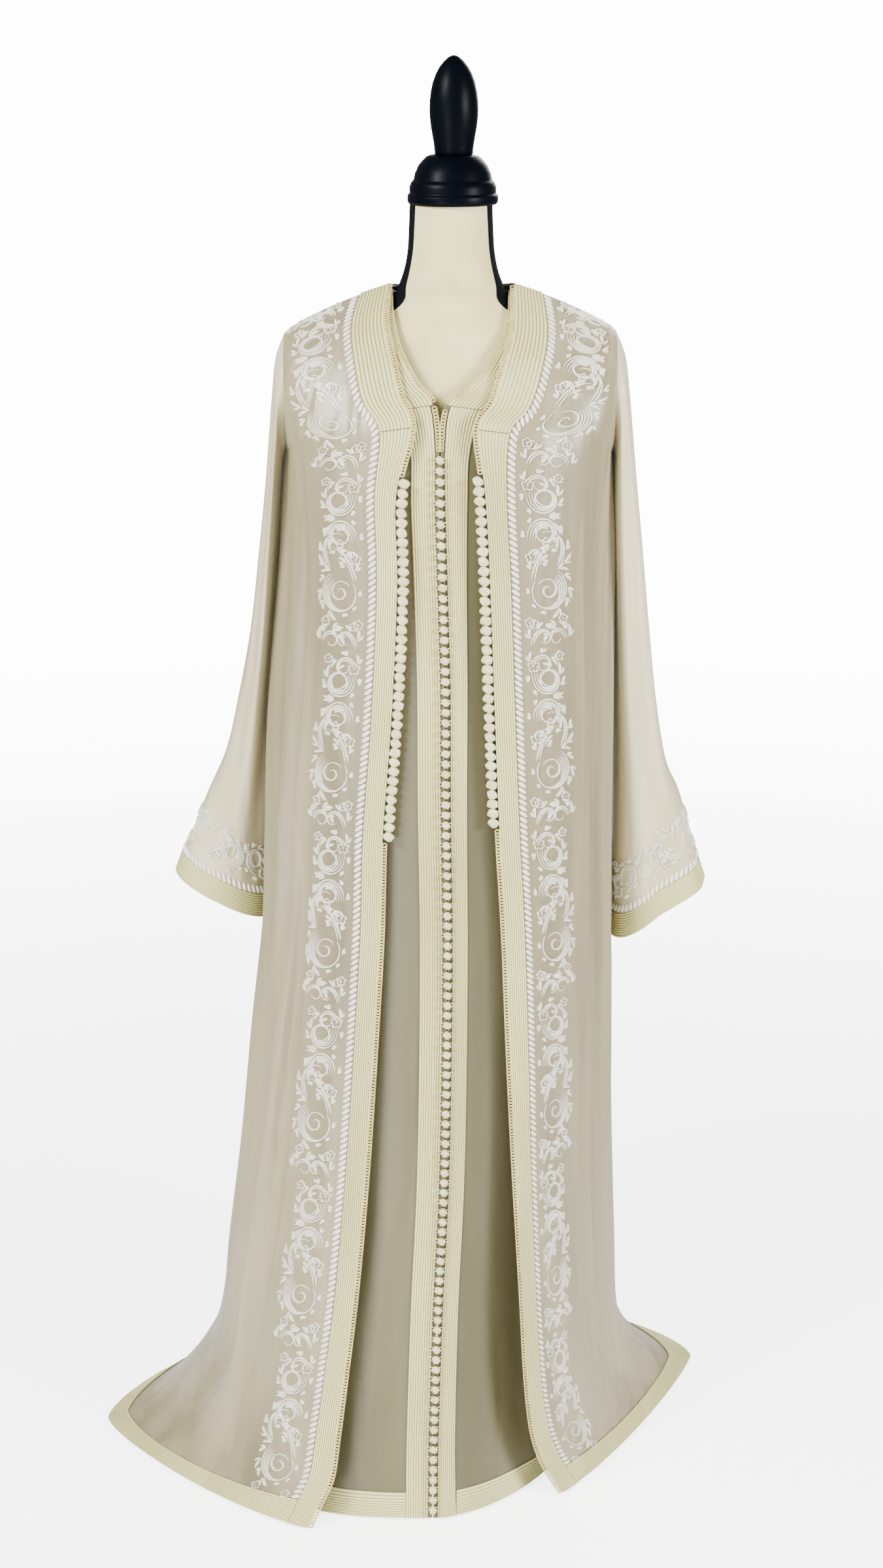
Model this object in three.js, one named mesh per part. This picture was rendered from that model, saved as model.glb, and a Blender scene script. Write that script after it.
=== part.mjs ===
// A two-layer wedding-style robe set shown on a limbless dress form.
// The under dress has a closed front with a column of knotted buttons.
// The open over robe has long bell sleeves, ribbed bands, and a row of knots on each front edge.
// Millimetres, +Z up, the front of the garment faces -Y, and the floor is z = 0.
// The origin is the middle of the stand's foot, on the floor.
import * as THREE from 'three';

// Driving sizes of the cloth and of the pieces sewn on it.
const robeCloth = 1.6;
const dressCloth = 1.4;
const bandThick = 1.6;
const ropeThick = 1.1;
const liftOff = 0.35; // air between a panel and what is sewn on it
const seamGap = 0.18; // half of the air between two pieces at a seam
const seamAir = 0.35; // air between two bands that meet
const ropeWide = 10;
const embroideryWide = 66;
const cordWide = 5.2;
const cordThick = 3;
const cordOff = 0.6; // air between a cord and the edge it follows
const curveSteps = 72; // samples along one section before it is cut into columns
const shoulderRows = 4; // the rows of a back that lean over to the shoulder seam

// Driving sizes of the knots and buttons, in rows.
const robeKnot = { wide: 12, tall: 9.4, neck: 5, sides: 4 };
const dressButton = { wide: 10.4, tall: 8.6, neck: 4.6, sides: 4 };

// The stand under the form.
const base = { radius: 150, tall: 11, edge: 3, hubRadius: 30, hubTall: 46 };
const pole = { radius: 14, top: 739.7 };
const formSides = 24;
const roundSides = 16;

const materials = {
  robe: new THREE.MeshStandardMaterial({ color: 0xddd5c9, roughness: 0.42, metalness: 0 }),
  dress: new THREE.MeshStandardMaterial({ color: 0xcfc9bb, roughness: 0.48, metalness: 0 }),
  band: new THREE.MeshStandardMaterial({ color: 0xefead0, roughness: 0.5, metalness: 0 }),
  rope: new THREE.MeshStandardMaterial({ color: 0xf4f2ec, roughness: 0.4, metalness: 0 }),
  knots: new THREE.MeshStandardMaterial({ color: 0xeee7cf, roughness: 0.6, metalness: 0 }),
  linen: new THREE.MeshStandardMaterial({ color: 0xe6dcbd, roughness: 0.85, metalness: 0 }),
  black: new THREE.MeshStandardMaterial({ color: 0x14171c, roughness: 0.35, metalness: 0 }),
};

const model = new THREE.Group();

// Tables: a row for each section, read by column name at any height between the rows.
function table(names, rows) {
  return rows.map((row) => Object.fromEntries(names.map((name, i) => [name, row[i]])));
}

function read(rows, name, at) {
  const i = Math.min(Math.max(Math.floor(at), 0), rows.length - 2);
  const t = at - i;
  const p1 = rows[i][name];
  const p2 = rows[i + 1][name];
  const p0 = i > 0 ? rows[i - 1][name] : 2 * p1 - p2;
  const p3 = i + 2 < rows.length ? rows[i + 2][name] : 2 * p2 - p1;
  const bend = 2 * p0 - 5 * p1 + 4 * p2 - p3;
  return p1 + 0.5 * t * (p2 - p0 + t * (bend + t * (3 * (p1 - p2) + p3 - p0)));
}

function readPoint(rows, prefix, at) {
  return new THREE.Vector3(
    read(rows, `${prefix}X`, at),
    read(rows, `${prefix}Y`, at),
    read(rows, `${prefix}Z`, at),
  );
}

function smooth(t) {
  const c = Math.min(Math.max(t, 0), 1);
  return c * c * (3 - 2 * c);
}

// Armholes: a tall oval on each shoulder. Side rows above the armpit lie on it.
const robeArmholes = {
  left: { x: -192, y: 2, z: 1327, tall: 69, deep: 52, lean: -1 },
  right: { x: 190, y: 2, z: 1329, tall: 70, deep: 52, lean: 1 },
};
const dressArmholes = {
  left: { x: -161, y: 2, z: 1333, tall: 70, deep: 48, lean: -2 },
  right: { x: 157, y: 2, z: 1333, tall: 70, deep: 48, lean: 2 },
};

// turn is 0 at the shoulder and 180 at the armpit; facing is -1 in front and 1 behind.
function armholePoint(hole, turn, facing) {
  const a = THREE.MathUtils.degToRad(turn);
  return new THREE.Vector3(
    hole.x + hole.lean * Math.cos(a),
    hole.y + facing * hole.deep * Math.sin(a),
    hole.z + hole.tall * Math.cos(a),
  );
}

// edge is the front opening and then the neckline; side is the side seam and then the armhole.
// turn is the place on the armhole, or 180 below it.
// square is 1 for a straight section, 2 for an oval one.
const panelColumns = ['edgeX', 'edgeY', 'edgeZ', 'sideX', 'sideY', 'sideZ', 'turn', 'square', 'band'];
const backColumns = ['edgeX', 'edgeY', 'edgeZ', 'squareLeft', 'squareRight'];

const robeLeft = table(panelColumns, [
  [-171, -278, 3.0, -449, -32, 3.0, 180, 1.25, 27],
  [-157, -271, 33, -423, -25, 7.0, 180, 1.35, 27],
  [-144, -264, 62, -381, -15, 29, 180, 1.5, 26],
  [-137.5, -250, 104, -340, -8, 70, 180, 1.7, 25],
  [-128, -234, 176, -303, 0, 138, 180, 1.9, 24],
  [-115, -214, 280, -283, 0, 255, 180, 2.0, 23],
  [-102, -190, 420, -258, 0, 400, 180, 2.0, 23],
  [-91.5, -168, 570, -238, 0, 560, 180, 2.0, 23],
  [-83, -154, 710, -220, 0, 700, 180, 2.0, 23],
  [-79, -146, 830, -212, 0, 825, 180, 2.0, 23],
  [-68.5, -138, 965, -204, 0, 960, 180, 2.0, 23],
  [-61.2, -132, 1117, -193, 0, 1115, 180, 2.0, 23],
  [-62, -127, 1220, -189, 0, 1205, 180, 2.3, 24],
  [-44.4, -120.5, 1297, -191, 2, 1258, 180, 2.8, 36],
  [-57.6, -106, 1331, 0, 0, 0, 128, 2.5, 42],
  [-66.6, -86, 1368.5, 0, 0, 0, 84, 2.0, 42],
  [-76, -50, 1411, 0, 0, 0, 44, 1.6, 38],
  [-72, -1, 1450, 0, 0, 0, 0, 1.4, 34],
]);

const robeRight = table(panelColumns, [
  [137.5, -204, 3.0, 334, 124, 3.0, 180, 1.15, 27],
  [121, -213, 36, 300, 98, 18, 180, 1.22, 27],
  [110, -219, 62, 266, 60, 50, 180, 1.22, 26],
  [99, -224, 104, 236, 25, 92, 180, 1.22, 25],
  [91, -224, 176, 219, 6, 150, 180, 1.2, 24],
  [85, -210, 280, 213, 0, 262, 180, 1.17, 23.5],
  [77, -184, 420, 207, 0, 405, 180, 1.22, 23.5],
  [70, -165, 570, 202, 0, 560, 180, 1.4, 23.5],
  [64, -153, 710, 196, 0, 700, 180, 1.55, 23.5],
  [56.5, -145, 830, 192, 0, 825, 180, 1.75, 23.5],
  [50.4, -138, 965, 189, 0, 960, 180, 1.9, 23.5],
  [44.3, -133, 1117, 186, 0, 1115, 180, 2, 23.5],
  [38.3, -128.5, 1220, 186, 0, 1205, 180, 2.3, 24],
  [29.5, -122.5, 1295, 189, 2, 1259, 180, 2.8, 36],
  [46, -108, 1322, 0, 0, 0, 128, 2.5, 42],
  [61.6, -86, 1368.5, 0, 0, 0, 84, 2.0, 42],
  [72, -50, 1405, 0, 0, 0, 44, 1.6, 38],
  [73, -1, 1450.6, 0, 0, 0, 0, 1.4, 34],
]);

const robeBack = table(backColumns, [
  [0, 300, 3.0, 1.55, 1.6],
  [0, 290, 32, 1.6, 1.65],
  [0, 280, 62, 1.65, 1.7],
  [0, 266, 104, 1.75, 1.8],
  [0, 246, 170, 1.85, 1.9],
  [0, 221, 275, 2.0, 2.0],
  [0, 194, 420, 2.0, 2.0],
  [0, 170, 570, 2.0, 2.0],
  [0, 153, 710, 2.0, 2.0],
  [0, 142, 830, 2.0, 2.0],
  [0, 130, 965, 2.1, 2.1],
  [0, 119, 1117, 2.2, 2.2],
  [0, 113, 1210, 2.4, 2.4],
  [0, 110, 1275, 2.6, 2.6],
  [0, 106, 1322, 2.6, 2.6],
  [0, 98, 1366, 2.6, 2.6],
  [0, 84, 1406, 2.5, 2.5],
  [0, 66, 1440, 2.2, 2.2],
]);

const dressLeft = table(panelColumns, [
  [-22.1, -258, 3.0, -262, 10, 3.0, 180, 3.2, 32],
  [-21.9, -251, 33, -257, 10, 33, 180, 3.0, 32],
  [-21.1, -236, 100, -248, 8, 100, 180, 2.7, 32],
  [-16.1, -206, 250, -238, 6, 250, 180, 2.4, 32],
  [-8.8, -184, 400, -226, 4, 400, 180, 2.2, 32],
  [-5.6, -166, 550, -214, 2, 550, 180, 2.1, 32],
  [-4.5, -151, 700, -203, 0, 700, 180, 2.1, 32],
  [-6.6, -138, 860, -190, 0, 860, 180, 2.1, 32],
  [-7.2, -127, 1000, -177, 0, 1000, 180, 2.1, 32],
  [-10.6, -121, 1120, -168, 0, 1120, 180, 2.1, 32],
  [-13.2, -118, 1210, -162, 0, 1205, 180, 2.2, 32.5],
  [-13.3, -114.5, 1268, -159, 2, 1263, 180, 2.2, 33],
  [-19.5, -104, 1321, 0, 0, 0, 138, 2.1, 40],
  [-40, -95, 1344, 0, 0, 0, 106, 2.0, 38],
  [-60, -71, 1381, 0, 0, 0, 68, 1.8, 36],
  [-70, -36, 1418, 0, 0, 0, 34, 1.6, 34],
  [-71, 1, 1443.5, 0, 0, 0, 0, 1.4, 33],
]);

const dressRight = table(panelColumns, [
  [-20.9, -258, 3.0, 180, 20, 3.0, 180, 1.7, 28],
  [-20.7, -251, 33, 180, 18, 33, 180, 1.7, 27],
  [-19.9, -236, 100, 178, 14, 100, 180, 1.7, 25.5],
  [-14.9, -206, 250, 173, 8, 250, 180, 1.75, 24],
  [-7.6, -184, 400, 169, 4, 400, 180, 1.8, 23.5],
  [-4.4, -166, 550, 167, 2, 550, 180, 1.9, 23.3],
  [-3.3, -151, 700, 166, 0, 700, 180, 2, 23],
  [-5.4, -138, 860, 165.5, 0, 860, 180, 2, 24],
  [-6, -127, 1000, 162.5, 0, 1000, 180, 2.1, 25],
  [-9.4, -121, 1120, 158.5, 0, 1120, 180, 2.1, 27.5],
  [-12, -118, 1210, 156.5, 0, 1205, 180, 2.2, 30.5],
  [-12.1, -114.5, 1268, 155, 2, 1263, 180, 2.2, 33],
  [-5, -104, 1320, 0, 0, 0, 138, 2.1, 40],
  [25, -97, 1338, 0, 0, 0, 106, 2.0, 38],
  [47, -79.4, 1364, 0, 0, 0, 68, 1.8, 36],
  [67, -43.4, 1406, 0, 0, 0, 34, 1.6, 34],
  [71, 1, 1443.5, 0, 0, 0, 0, 1.4, 33],
]);

const dressBack = table(backColumns, [
  [0, 232, 3.0, 2.2, 2.0],
  [0, 224, 33, 2.2, 2.0],
  [0, 208, 100, 2.1, 2.0],
  [0, 184, 250, 2.0, 2.0],
  [0, 164, 400, 2.0, 2.0],
  [0, 147, 550, 2.0, 2.0],
  [0, 135, 700, 2.0, 2.0],
  [0, 124, 860, 2.1, 2.1],
  [0, 113, 1000, 2.1, 2.1],
  [0, 105, 1120, 2.1, 2.1],
  [0, 101, 1210, 2.1, 2.1],
  [0, 99, 1272, 2.1, 2.1],
  [0, 96, 1318, 2.5, 2.5],
  [0, 92, 1350, 2.5, 2.5],
  [0, 83, 1382, 2.4, 2.4],
  [0, 73, 1410, 2.3, 2.3],
  [0, 61, 1434, 2.2, 2.2],
]);

// Folds run up and down a panel. place and wide are shares of the section from the edge to the side,
// deep is how far the cloth stands out (or in, below 0), and low and high are table rows.
const foldColumns = ['place', 'wide', 'deep', 'low', 'high', 'drift'];

const robeLeftFolds = table(foldColumns, [
  [0.86, 0.12, 13, 4.6, 12.9, -0.01],
  [0.66, 0.09, -8, 1.8, 11.8, -0.02],
  [0.54, 0.08, 6, 2.6, 10.5, 0.03],
  [0.44, 0.07, -5, 3.0, 9.6, 0.02],
]);

const robeRightFolds = table(foldColumns, [
  [0.88, 0.11, 11, 5.0, 12.9, 0.0],
  [0.72, 0.08, -8, 2.2, 12.2, 0.02],
  [0.6, 0.08, 6, 2.8, 11.0, -0.02],
]);

const robeBackFolds = table(foldColumns, [
  [0.12, 0.1, 10, 0.4, 13.0, 0.01],
  [0.3, 0.09, -11, 0.4, 12.6, 0.02],
  [0.46, 0.1, 12, 0.4, 13.2, 0.01],
  [0.64, 0.09, -10, 0.6, 12.2, 0.0],
  [0.8, 0.09, 8, 1.4, 9.0, -0.02],
]);

const dressFolds = table(foldColumns, [
  [0.5, 0.16, 9, 0.6, 7.5, 0.03],
  [0.78, 0.14, -8, 0.6, 8.0, 0.0],
]);

function foldOffset(folds, share, at) {
  let out = 0;
  for (const f of folds) {
    const middle = (f.low + f.high) / 2;
    const half = (f.high - f.low) / 2;
    const up = Math.max(1 - (Math.abs(at - middle) / half) ** 3, 0);
    const away = (share - f.place - (f.drift * (at - middle)) / half) / f.wide;
    if (Math.abs(away) < 1) out += f.deep * up * Math.cos((away * Math.PI) / 2) ** 2;
  }
  return out;
}

// One section of cloth from its edge to its side, as a dense line with lengths along it.
function sectionLine(edge, side, square, folds, at, top) {
  const line = [];
  for (let i = 0; i <= curveSteps; i += 1) {
    const a = (i / curveSteps) * (Math.PI / 2);
    const across = Math.sin(a) ** (2 / square);
    const deep = Math.cos(a) ** (2 / square);
    const climb = (across + 1 - deep) / 2;
    const p = new THREE.Vector3(
      edge.x + (side.x - edge.x) * across,
      side.y + (edge.y - side.y) * deep,
      edge.z + (side.z - edge.z) * climb,
    );
    if (top) p.lerp(top.at(i / curveSteps), top.share);
    line.push(p);
  }
  const flatLengths = lengthsAlong(line);
  const whole = flatLengths[curveSteps];
  const folded = line.map((p, i) => {
    const before = line[Math.max(i - 1, 0)];
    const after = line[Math.min(i + 1, curveSteps)];
    const out = new THREE.Vector3(after.y - before.y, before.x - after.x, 0).normalize();
    if (out.x * p.x + out.y * p.y < 0) out.negate();
    return p.clone().addScaledVector(out, foldOffset(folds, flatLengths[i] / whole, at));
  });
  return { points: folded, lengths: lengthsAlong(folded) };
}

function lengthsAlong(line) {
  const lengths = [0];
  for (let i = 1; i < line.length; i += 1) {
    lengths.push(lengths[i - 1] + line[i].distanceTo(line[i - 1]));
  }
  return lengths;
}

function pointAtLength(section, length) {
  const { points, lengths } = section;
  let i = 1;
  while (i < lengths.length - 1 && lengths[i] < length) i += 1;
  const t = (length - lengths[i - 1]) / (lengths[i] - lengths[i - 1]);
  return points[i - 1].clone().lerp(points[i], t);
}

function sideOf(rows, hole, facing, at) {
  const firstOnHole = rows.findIndex((row) => row.turn < 180);
  const armpit = firstOnHole - 1;
  if (at <= armpit) {
    const below = rows.slice(0, firstOnHole);
    return readPoint(below, 'side', at);
  }
  const turns = rows.slice(armpit);
  const turn = Math.min(Math.max(read(turns, 'turn', at - armpit), 0), 180);
  return armholePoint(hole, turn, facing);
}

// The points of a front panel: one row for each height, one column for each length from the edge.
function frontGrid(rows, hole, folds, heights, fixedWidths, openColumns) {
  return heights.map((at) => {
    const edge = readPoint(rows, 'edge', at);
    const side = sideOf(rows, hole, -1, at);
    const section = sectionLine(edge, side, read(rows, 'square', at), folds, at);
    const whole = section.lengths[curveSteps] - seamGap;
    const stops = fixedWidths(read(rows, 'band', at), whole, at);
    const last = stops[stops.length - 1];
    for (let k = 1; k <= openColumns; k += 1) stops.push(last + ((whole - last) * k) / openColumns);
    return stops.map((length) => pointAtLength(section, length));
  });
}

// The top line of a back panel: from the middle of the neck, round the neckline, along the shoulder.
function shoulderLine(neckMiddle, shoulder, neckShare) {
  const neckSide = pointAtLength(shoulder, 0);
  return (t) => {
    if (t > neckShare) {
      return pointAtLength(shoulder, (shoulder.lengths[curveSteps] * (t - neckShare)) / (1 - neckShare));
    }
    const a = ((t / neckShare) * Math.PI) / 2;
    return new THREE.Vector3(
      neckMiddle.x + (neckSide.x - neckMiddle.x) * Math.sin(a),
      neckSide.y + (neckMiddle.y - neckSide.y) * Math.cos(a),
      neckMiddle.z + (neckSide.z - neckMiddle.z) * Math.sin(a),
    );
  };
}

function backHalf(back, front, hole, squareName, neckShare, folds, heights, columns) {
  const lastRow = back.length - 1;
  const edge = readPoint(front, 'edge', lastRow);
  const armholeTop = armholePoint(hole, 0, -1);
  const shoulder = sectionLine(edge, armholeTop, front[lastRow].square, [], lastRow);
  shoulder.points.forEach((p) => p.setY(p.y + 2 * seamGap));
  const line = shoulderLine(readPoint(back, 'edge', lastRow), shoulder, neckShare);
  return heights.map((at) => {
    const middle = readPoint(back, 'edge', at);
    const side = sideOf(front, hole, 1, at);
    const lean = smooth((at - lastRow + shoulderRows) / shoulderRows) ** 1.6;
    const top = { at: line, share: lean };
    const section = sectionLine(middle, side, read(back, squareName, at), folds, at, top);
    const whole = section.lengths[curveSteps] - seamGap;
    return columns.map((share) => pointAtLength(section, share * whole));
  });
}

function backGrid(back, left, right, holes, neckShare, folds, heights, columns) {
  const leftHalf = backHalf(back, left, holes.left, 'squareLeft', neckShare, folds, heights, columns);
  const rightHalf = backHalf(back, right, holes.right, 'squareRight', neckShare, folds, heights, columns);
  return heights.map((at, i) => [...leftHalf[i].slice(1).reverse(), ...rightHalf[i]]);
}

// Outward directions at the points of a grid. ring is true when its columns close on themselves.
function outwardOf(grid, ring, centreOf) {
  const rows = grid.length;
  const columns = grid[0].length;
  const normals = grid.map((row, i) =>
    row.map((p, j) => {
      const down = grid[Math.max(i - 1, 0)][j];
      const up = grid[Math.min(i + 1, rows - 1)][j];
      const before = ring ? row[(j + columns - 1) % columns] : row[Math.max(j - 1, 0)];
      const after = ring ? row[(j + 1) % columns] : row[Math.min(j + 1, columns - 1)];
      return new THREE.Vector3()
        .crossVectors(after.clone().sub(before), up.clone().sub(down))
        .normalize();
    }),
  );
  let agree = 0;
  grid.forEach((row, i) =>
    row.forEach((p, j) => {
      agree += normals[i][j].dot(p.clone().sub(centreOf(i)));
    }),
  );
  if (agree < 0) normals.forEach((row) => row.forEach((n) => n.negate()));
  return { normals, flipped: agree < 0 };
}

function uprightAxis(grid) {
  return (i) => new THREE.Vector3(0, 0, grid[i][0].z);
}

// A closed wall between two heights over a grid of points.
function slab(grid, normals, flipped, low, high, ring = false) {
  const rows = grid.length;
  const columns = grid[0].length;
  const positions = [];
  for (const height of [high, low]) {
    grid.forEach((row, i) =>
      row.forEach((p, j) => {
        const q = p.clone().addScaledVector(normals[i][j], height);
        positions.push(q.x, q.y, q.z);
      }),
    );
  }
  const layer = rows * columns;
  const indices = [];
  const quad = (a, b, c, d) => {
    if (flipped) indices.push(a, c, b, a, d, c);
    else indices.push(a, b, c, a, c, d);
  };
  const spans = ring ? columns : columns - 1;
  for (let i = 0; i < rows - 1; i += 1) {
    for (let j = 0; j < spans; j += 1) {
      const k = (j + 1) % columns;
      const [a, b, c, d] = [i * columns + j, i * columns + k, (i + 1) * columns + k, (i + 1) * columns + j];
      quad(a, b, c, d);
      quad(layer + a, layer + d, layer + c, layer + b);
    }
  }
  for (let j = 0; j < spans; j += 1) {
    const k = (j + 1) % columns;
    const top = (rows - 1) * columns;
    quad(layer + j, layer + k, k, j);
    quad(top + j, top + k, layer + top + k, layer + top + j);
  }
  if (!ring) {
    for (let i = 0; i < rows - 1; i += 1) {
      const a = i * columns;
      const b = (i + 1) * columns;
      const e = columns - 1;
      quad(layer + a, a, b, layer + b);
      quad(a + e, layer + a + e, layer + b + e, b + e);
    }
  }
  const geometry = new THREE.BufferGeometry();
  geometry.setAttribute('position', new THREE.Float32BufferAttribute(positions, 3));
  geometry.setIndex(indices);
  return geometry;
}

function addPiece(name, geometry, material) {
  const piece = new THREE.Mesh(geometry, material);
  piece.name = name;
  model.add(piece);
  return piece;
}

function panelOf(grid) {
  return { grid, ...outwardOf(grid, false, uprightAxis(grid)) };
}

function addPanel(name, panel, thick, material) {
  addPiece(name, slab(panel.grid, panel.normals, panel.flipped, -thick, 0), material);
}

// At a side seam both walls end on one plane. Along the armhole they end on the sleeve's plane.
function joinSide(front, back, backColumn, armpitRow) {
  front.normals.forEach((row, i) => {
    const ours = row[row.length - 1];
    const theirs = back.normals[i][backColumn];
    if (i <= armpitRow) {
      ours.add(theirs).normalize();
      theirs.copy(ours);
    } else {
      ours.setX(0).normalize();
      theirs.setX(0).normalize();
    }
  });
}

// Along the shoulder seam both walls end on an upright plane.
function joinShoulder(panel, from, to) {
  const last = panel.grid.length - 1;
  const row = panel.grid[last];
  for (let j = from; j <= to; j += 1) {
    const before = row[Math.max(j - 1, from)];
    const after = row[Math.min(j + 1, to)];
    const along = after.clone().sub(before);
    const up = new THREE.Vector3(-along.z, 0, along.x).normalize();
    if (up.z < 0) up.negate();
    if (j === 0 || j === row.length - 1) up.setX(up.x * 0.2).normalize();
    panel.normals[last][j].copy(up);
  }
}

// A strip sewn on a panel: it is made from the panel's own points, moved out, and pulled in at its ends.
function addTrim(name, panel, rowRange, columnRange, thick, material, pullIn = {}) {
  const [r0, r1] = rowRange;
  const [c0, c1] = columnRange;
  const cut = (all) => all.slice(r0, r1 + 1).map((row) => row.slice(c0, c1 + 1).map((p) => p.clone()));
  const grid = cut(panel.grid);
  const normals = cut(panel.normals);
  const towards = (p, q, distance) => p.lerp(q, distance / p.distanceTo(q));
  const lastColumn = grid[0].length - 1;
  const lastRow = grid.length - 1;
  for (const row of grid) {
    if (pullIn.before) towards(row[0], row[1], pullIn.before);
    if (pullIn.after) towards(row[lastColumn], row[lastColumn - 1], pullIn.after);
  }
  for (let j = 0; j <= lastColumn; j += 1) {
    if (pullIn.below) towards(grid[0][j], grid[1][j], pullIn.below);
    if (pullIn.above) towards(grid[lastRow][j], grid[lastRow - 1][j], pullIn.above);
  }
  addPiece(name, slab(grid, normals, panel.flipped, liftOff, liftOff + thick), material);
}

// The rows at which each garment is cut: every table row, and halfway where the table is sparse.
const lowHeights = [0, 1, 2, 3, 4, 5, 6, 7, 8, 9, 10, 11, 12];
const robeHeights = [...lowHeights, 12.5, 13, 13.5, 14, 14.5, 15, 15.5, 16, 16.5, 17];
const dressHeights = [...lowHeights, 12.5, 13, 13.5, 14, 14.5, 15, 15.5, 16];
const robeCorner = robeHeights.indexOf(13); // where the front edge turns into the neckline
const dressCorner = dressHeights.indexOf(12);

// A garment's three panels, joined at the sides and the shoulders.
function garmentOf(make) {
  const { left, right, back, holes, heights, widths, openColumns, backShares } = make;
  const fronts = {
    left: panelOf(frontGrid(left, holes.left, make.leftFolds, heights, widths, openColumns)),
    right: panelOf(frontGrid(right, holes.right, make.rightFolds, heights, widths, openColumns)),
  };
  const neckShare = backShares[make.neckColumn];
  const whole = panelOf(backGrid(back, left, right, holes, neckShare, make.backFolds, heights, backShares));
  const armpitRow = heights.indexOf(left.findIndex((row) => row.turn < 180) - 1);
  const middle = backShares.length - 1;
  joinSide(fronts.left, whole, 0, armpitRow);
  joinSide(fronts.right, whole, 2 * middle, armpitRow);
  joinShoulder(fronts.left, 0, fronts.left.grid[0].length - 1);
  joinShoulder(fronts.right, 0, fronts.right.grid[0].length - 1);
  joinShoulder(whole, 0, middle - make.neckColumn);
  joinShoulder(whole, middle + make.neckColumn, 2 * middle);
  return { fronts, back: whole, middle, top: heights.length - 1 };
}

// The robe, with its ribbed bands and the corded line beside each front band.
const robe = garmentOf({
  left: robeLeft,
  right: robeRight,
  back: robeBack,
  holes: robeArmholes,
  heights: robeHeights,
  leftFolds: robeLeftFolds,
  rightFolds: robeRightFolds,
  backFolds: robeBackFolds,
  openColumns: 6,
  backShares: [0, 0.15, 0.3, 0.448, 0.589, 0.75, 0.88, 1],
  neckColumn: 3,
  widths: (band, whole) => {
    const room = whole - band - ropeWide;
    return [0, band, band + ropeWide, band + ropeWide + Math.min(embroideryWide / 2, room * 0.3)];
  },
});
for (const [hand, panel] of Object.entries(robe.fronts)) {
  const lastColumn = panel.grid[0].length - 1;
  addPanel(`robe_front_${hand}`, panel, robeCloth, materials.robe);
  addTrim(`robe_front_band_${hand}`, panel, [0, robeCorner], [0, 1], bandThick, materials.band, {
    above: seamAir,
  });
  addTrim(`robe_neck_band_${hand}`, panel, [robeCorner, robe.top], [0, 1], bandThick, materials.band);
  addTrim(`robe_rope_${hand}`, panel, [1, robe.top], [1, 2], ropeThick, materials.rope, {
    before: seamAir,
    below: seamAir,
  });
  addTrim(`robe_hem_band_${hand}`, panel, [0, 1], [1, lastColumn], bandThick, materials.band, {
    before: seamAir,
  });
}
addPanel('robe_back', robe.back, robeCloth, materials.robe);
addTrim('robe_neck_band_back', robe.back, [robe.top - 2, robe.top], [robe.middle - 4, robe.middle + 4],
  bandThick, materials.band);
addTrim('robe_hem_band_back', robe.back, [0, 1], [0, 2 * robe.middle], bandThick, materials.band);

// A flat cord beyond the panel's open edge, from the hem up to a height.
function addCord(name, panel, top) {
  const last = panel.grid.findIndex((row) => row[0].z > top);
  const grid = panel.grid.slice(0, last + 1).map((row) => {
    const away = row[0].clone().sub(row[1]).normalize();
    return [cordOff + cordWide, cordOff].map((far) => row[0].clone().addScaledVector(away, far));
  });
  const share = (top - grid[last - 1][1].z) / (grid[last][1].z - grid[last - 1][1].z);
  grid[last].forEach((p, j) => p.lerp(grid[last - 1][j], 1 - share));
  const normals = panel.normals.slice(0, last + 1).map((row) => [row[0], row[0]]);
  const cord = slab(grid, normals, panel.flipped, 1.4 - cordThick, 1.4);
  addPiece(name, cord, materials.knots);
}
addCord('robe_cord_left', robe.fronts.left, 819);
addCord('robe_cord_right', robe.fronts.right, 835);

// The dress: its first column leaves room for the buttons, and its second ends the band.
const dress = garmentOf({
  left: dressLeft,
  right: dressRight,
  back: dressBack,
  holes: dressArmholes,
  heights: dressHeights,
  leftFolds: dressFolds,
  rightFolds: dressFolds,
  backFolds: dressFolds,
  openColumns: 5,
  backShares: [0, 0.17, 0.34, 0.507, 0.67, 0.83, 1],
  neckColumn: 3,
  widths: (band, whole, at) => [0, at > 11.2 ? 1 : 5, band],
});
for (const [hand, panel] of Object.entries(dress.fronts)) {
  const lastColumn = panel.grid[0].length - 1;
  addPanel(`dress_front_${hand}`, panel, dressCloth, materials.dress);
  addTrim(`dress_front_band_${hand}`, panel, [0, dressCorner], [1, 2], bandThick, materials.band, {
    above: seamAir,
  });
  addTrim(`dress_neck_band_${hand}`, panel, [dressCorner, dress.top], [0, 2], bandThick, materials.band);
  addTrim(`dress_hem_band_${hand}`, panel, [0, 1], [2, lastColumn], bandThick, materials.band, {
    before: seamAir,
  });
}
addPanel('dress_back', dress.back, dressCloth, materials.dress);
addTrim('dress_neck_band_back', dress.back, [dress.top - 2, dress.top], [dress.middle - 4, dress.middle + 4],
  bandThick, materials.band);
addTrim('dress_hem_band_back', dress.back, [0, 1], [0, 2 * dress.middle], bandThick, materials.band);

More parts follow.
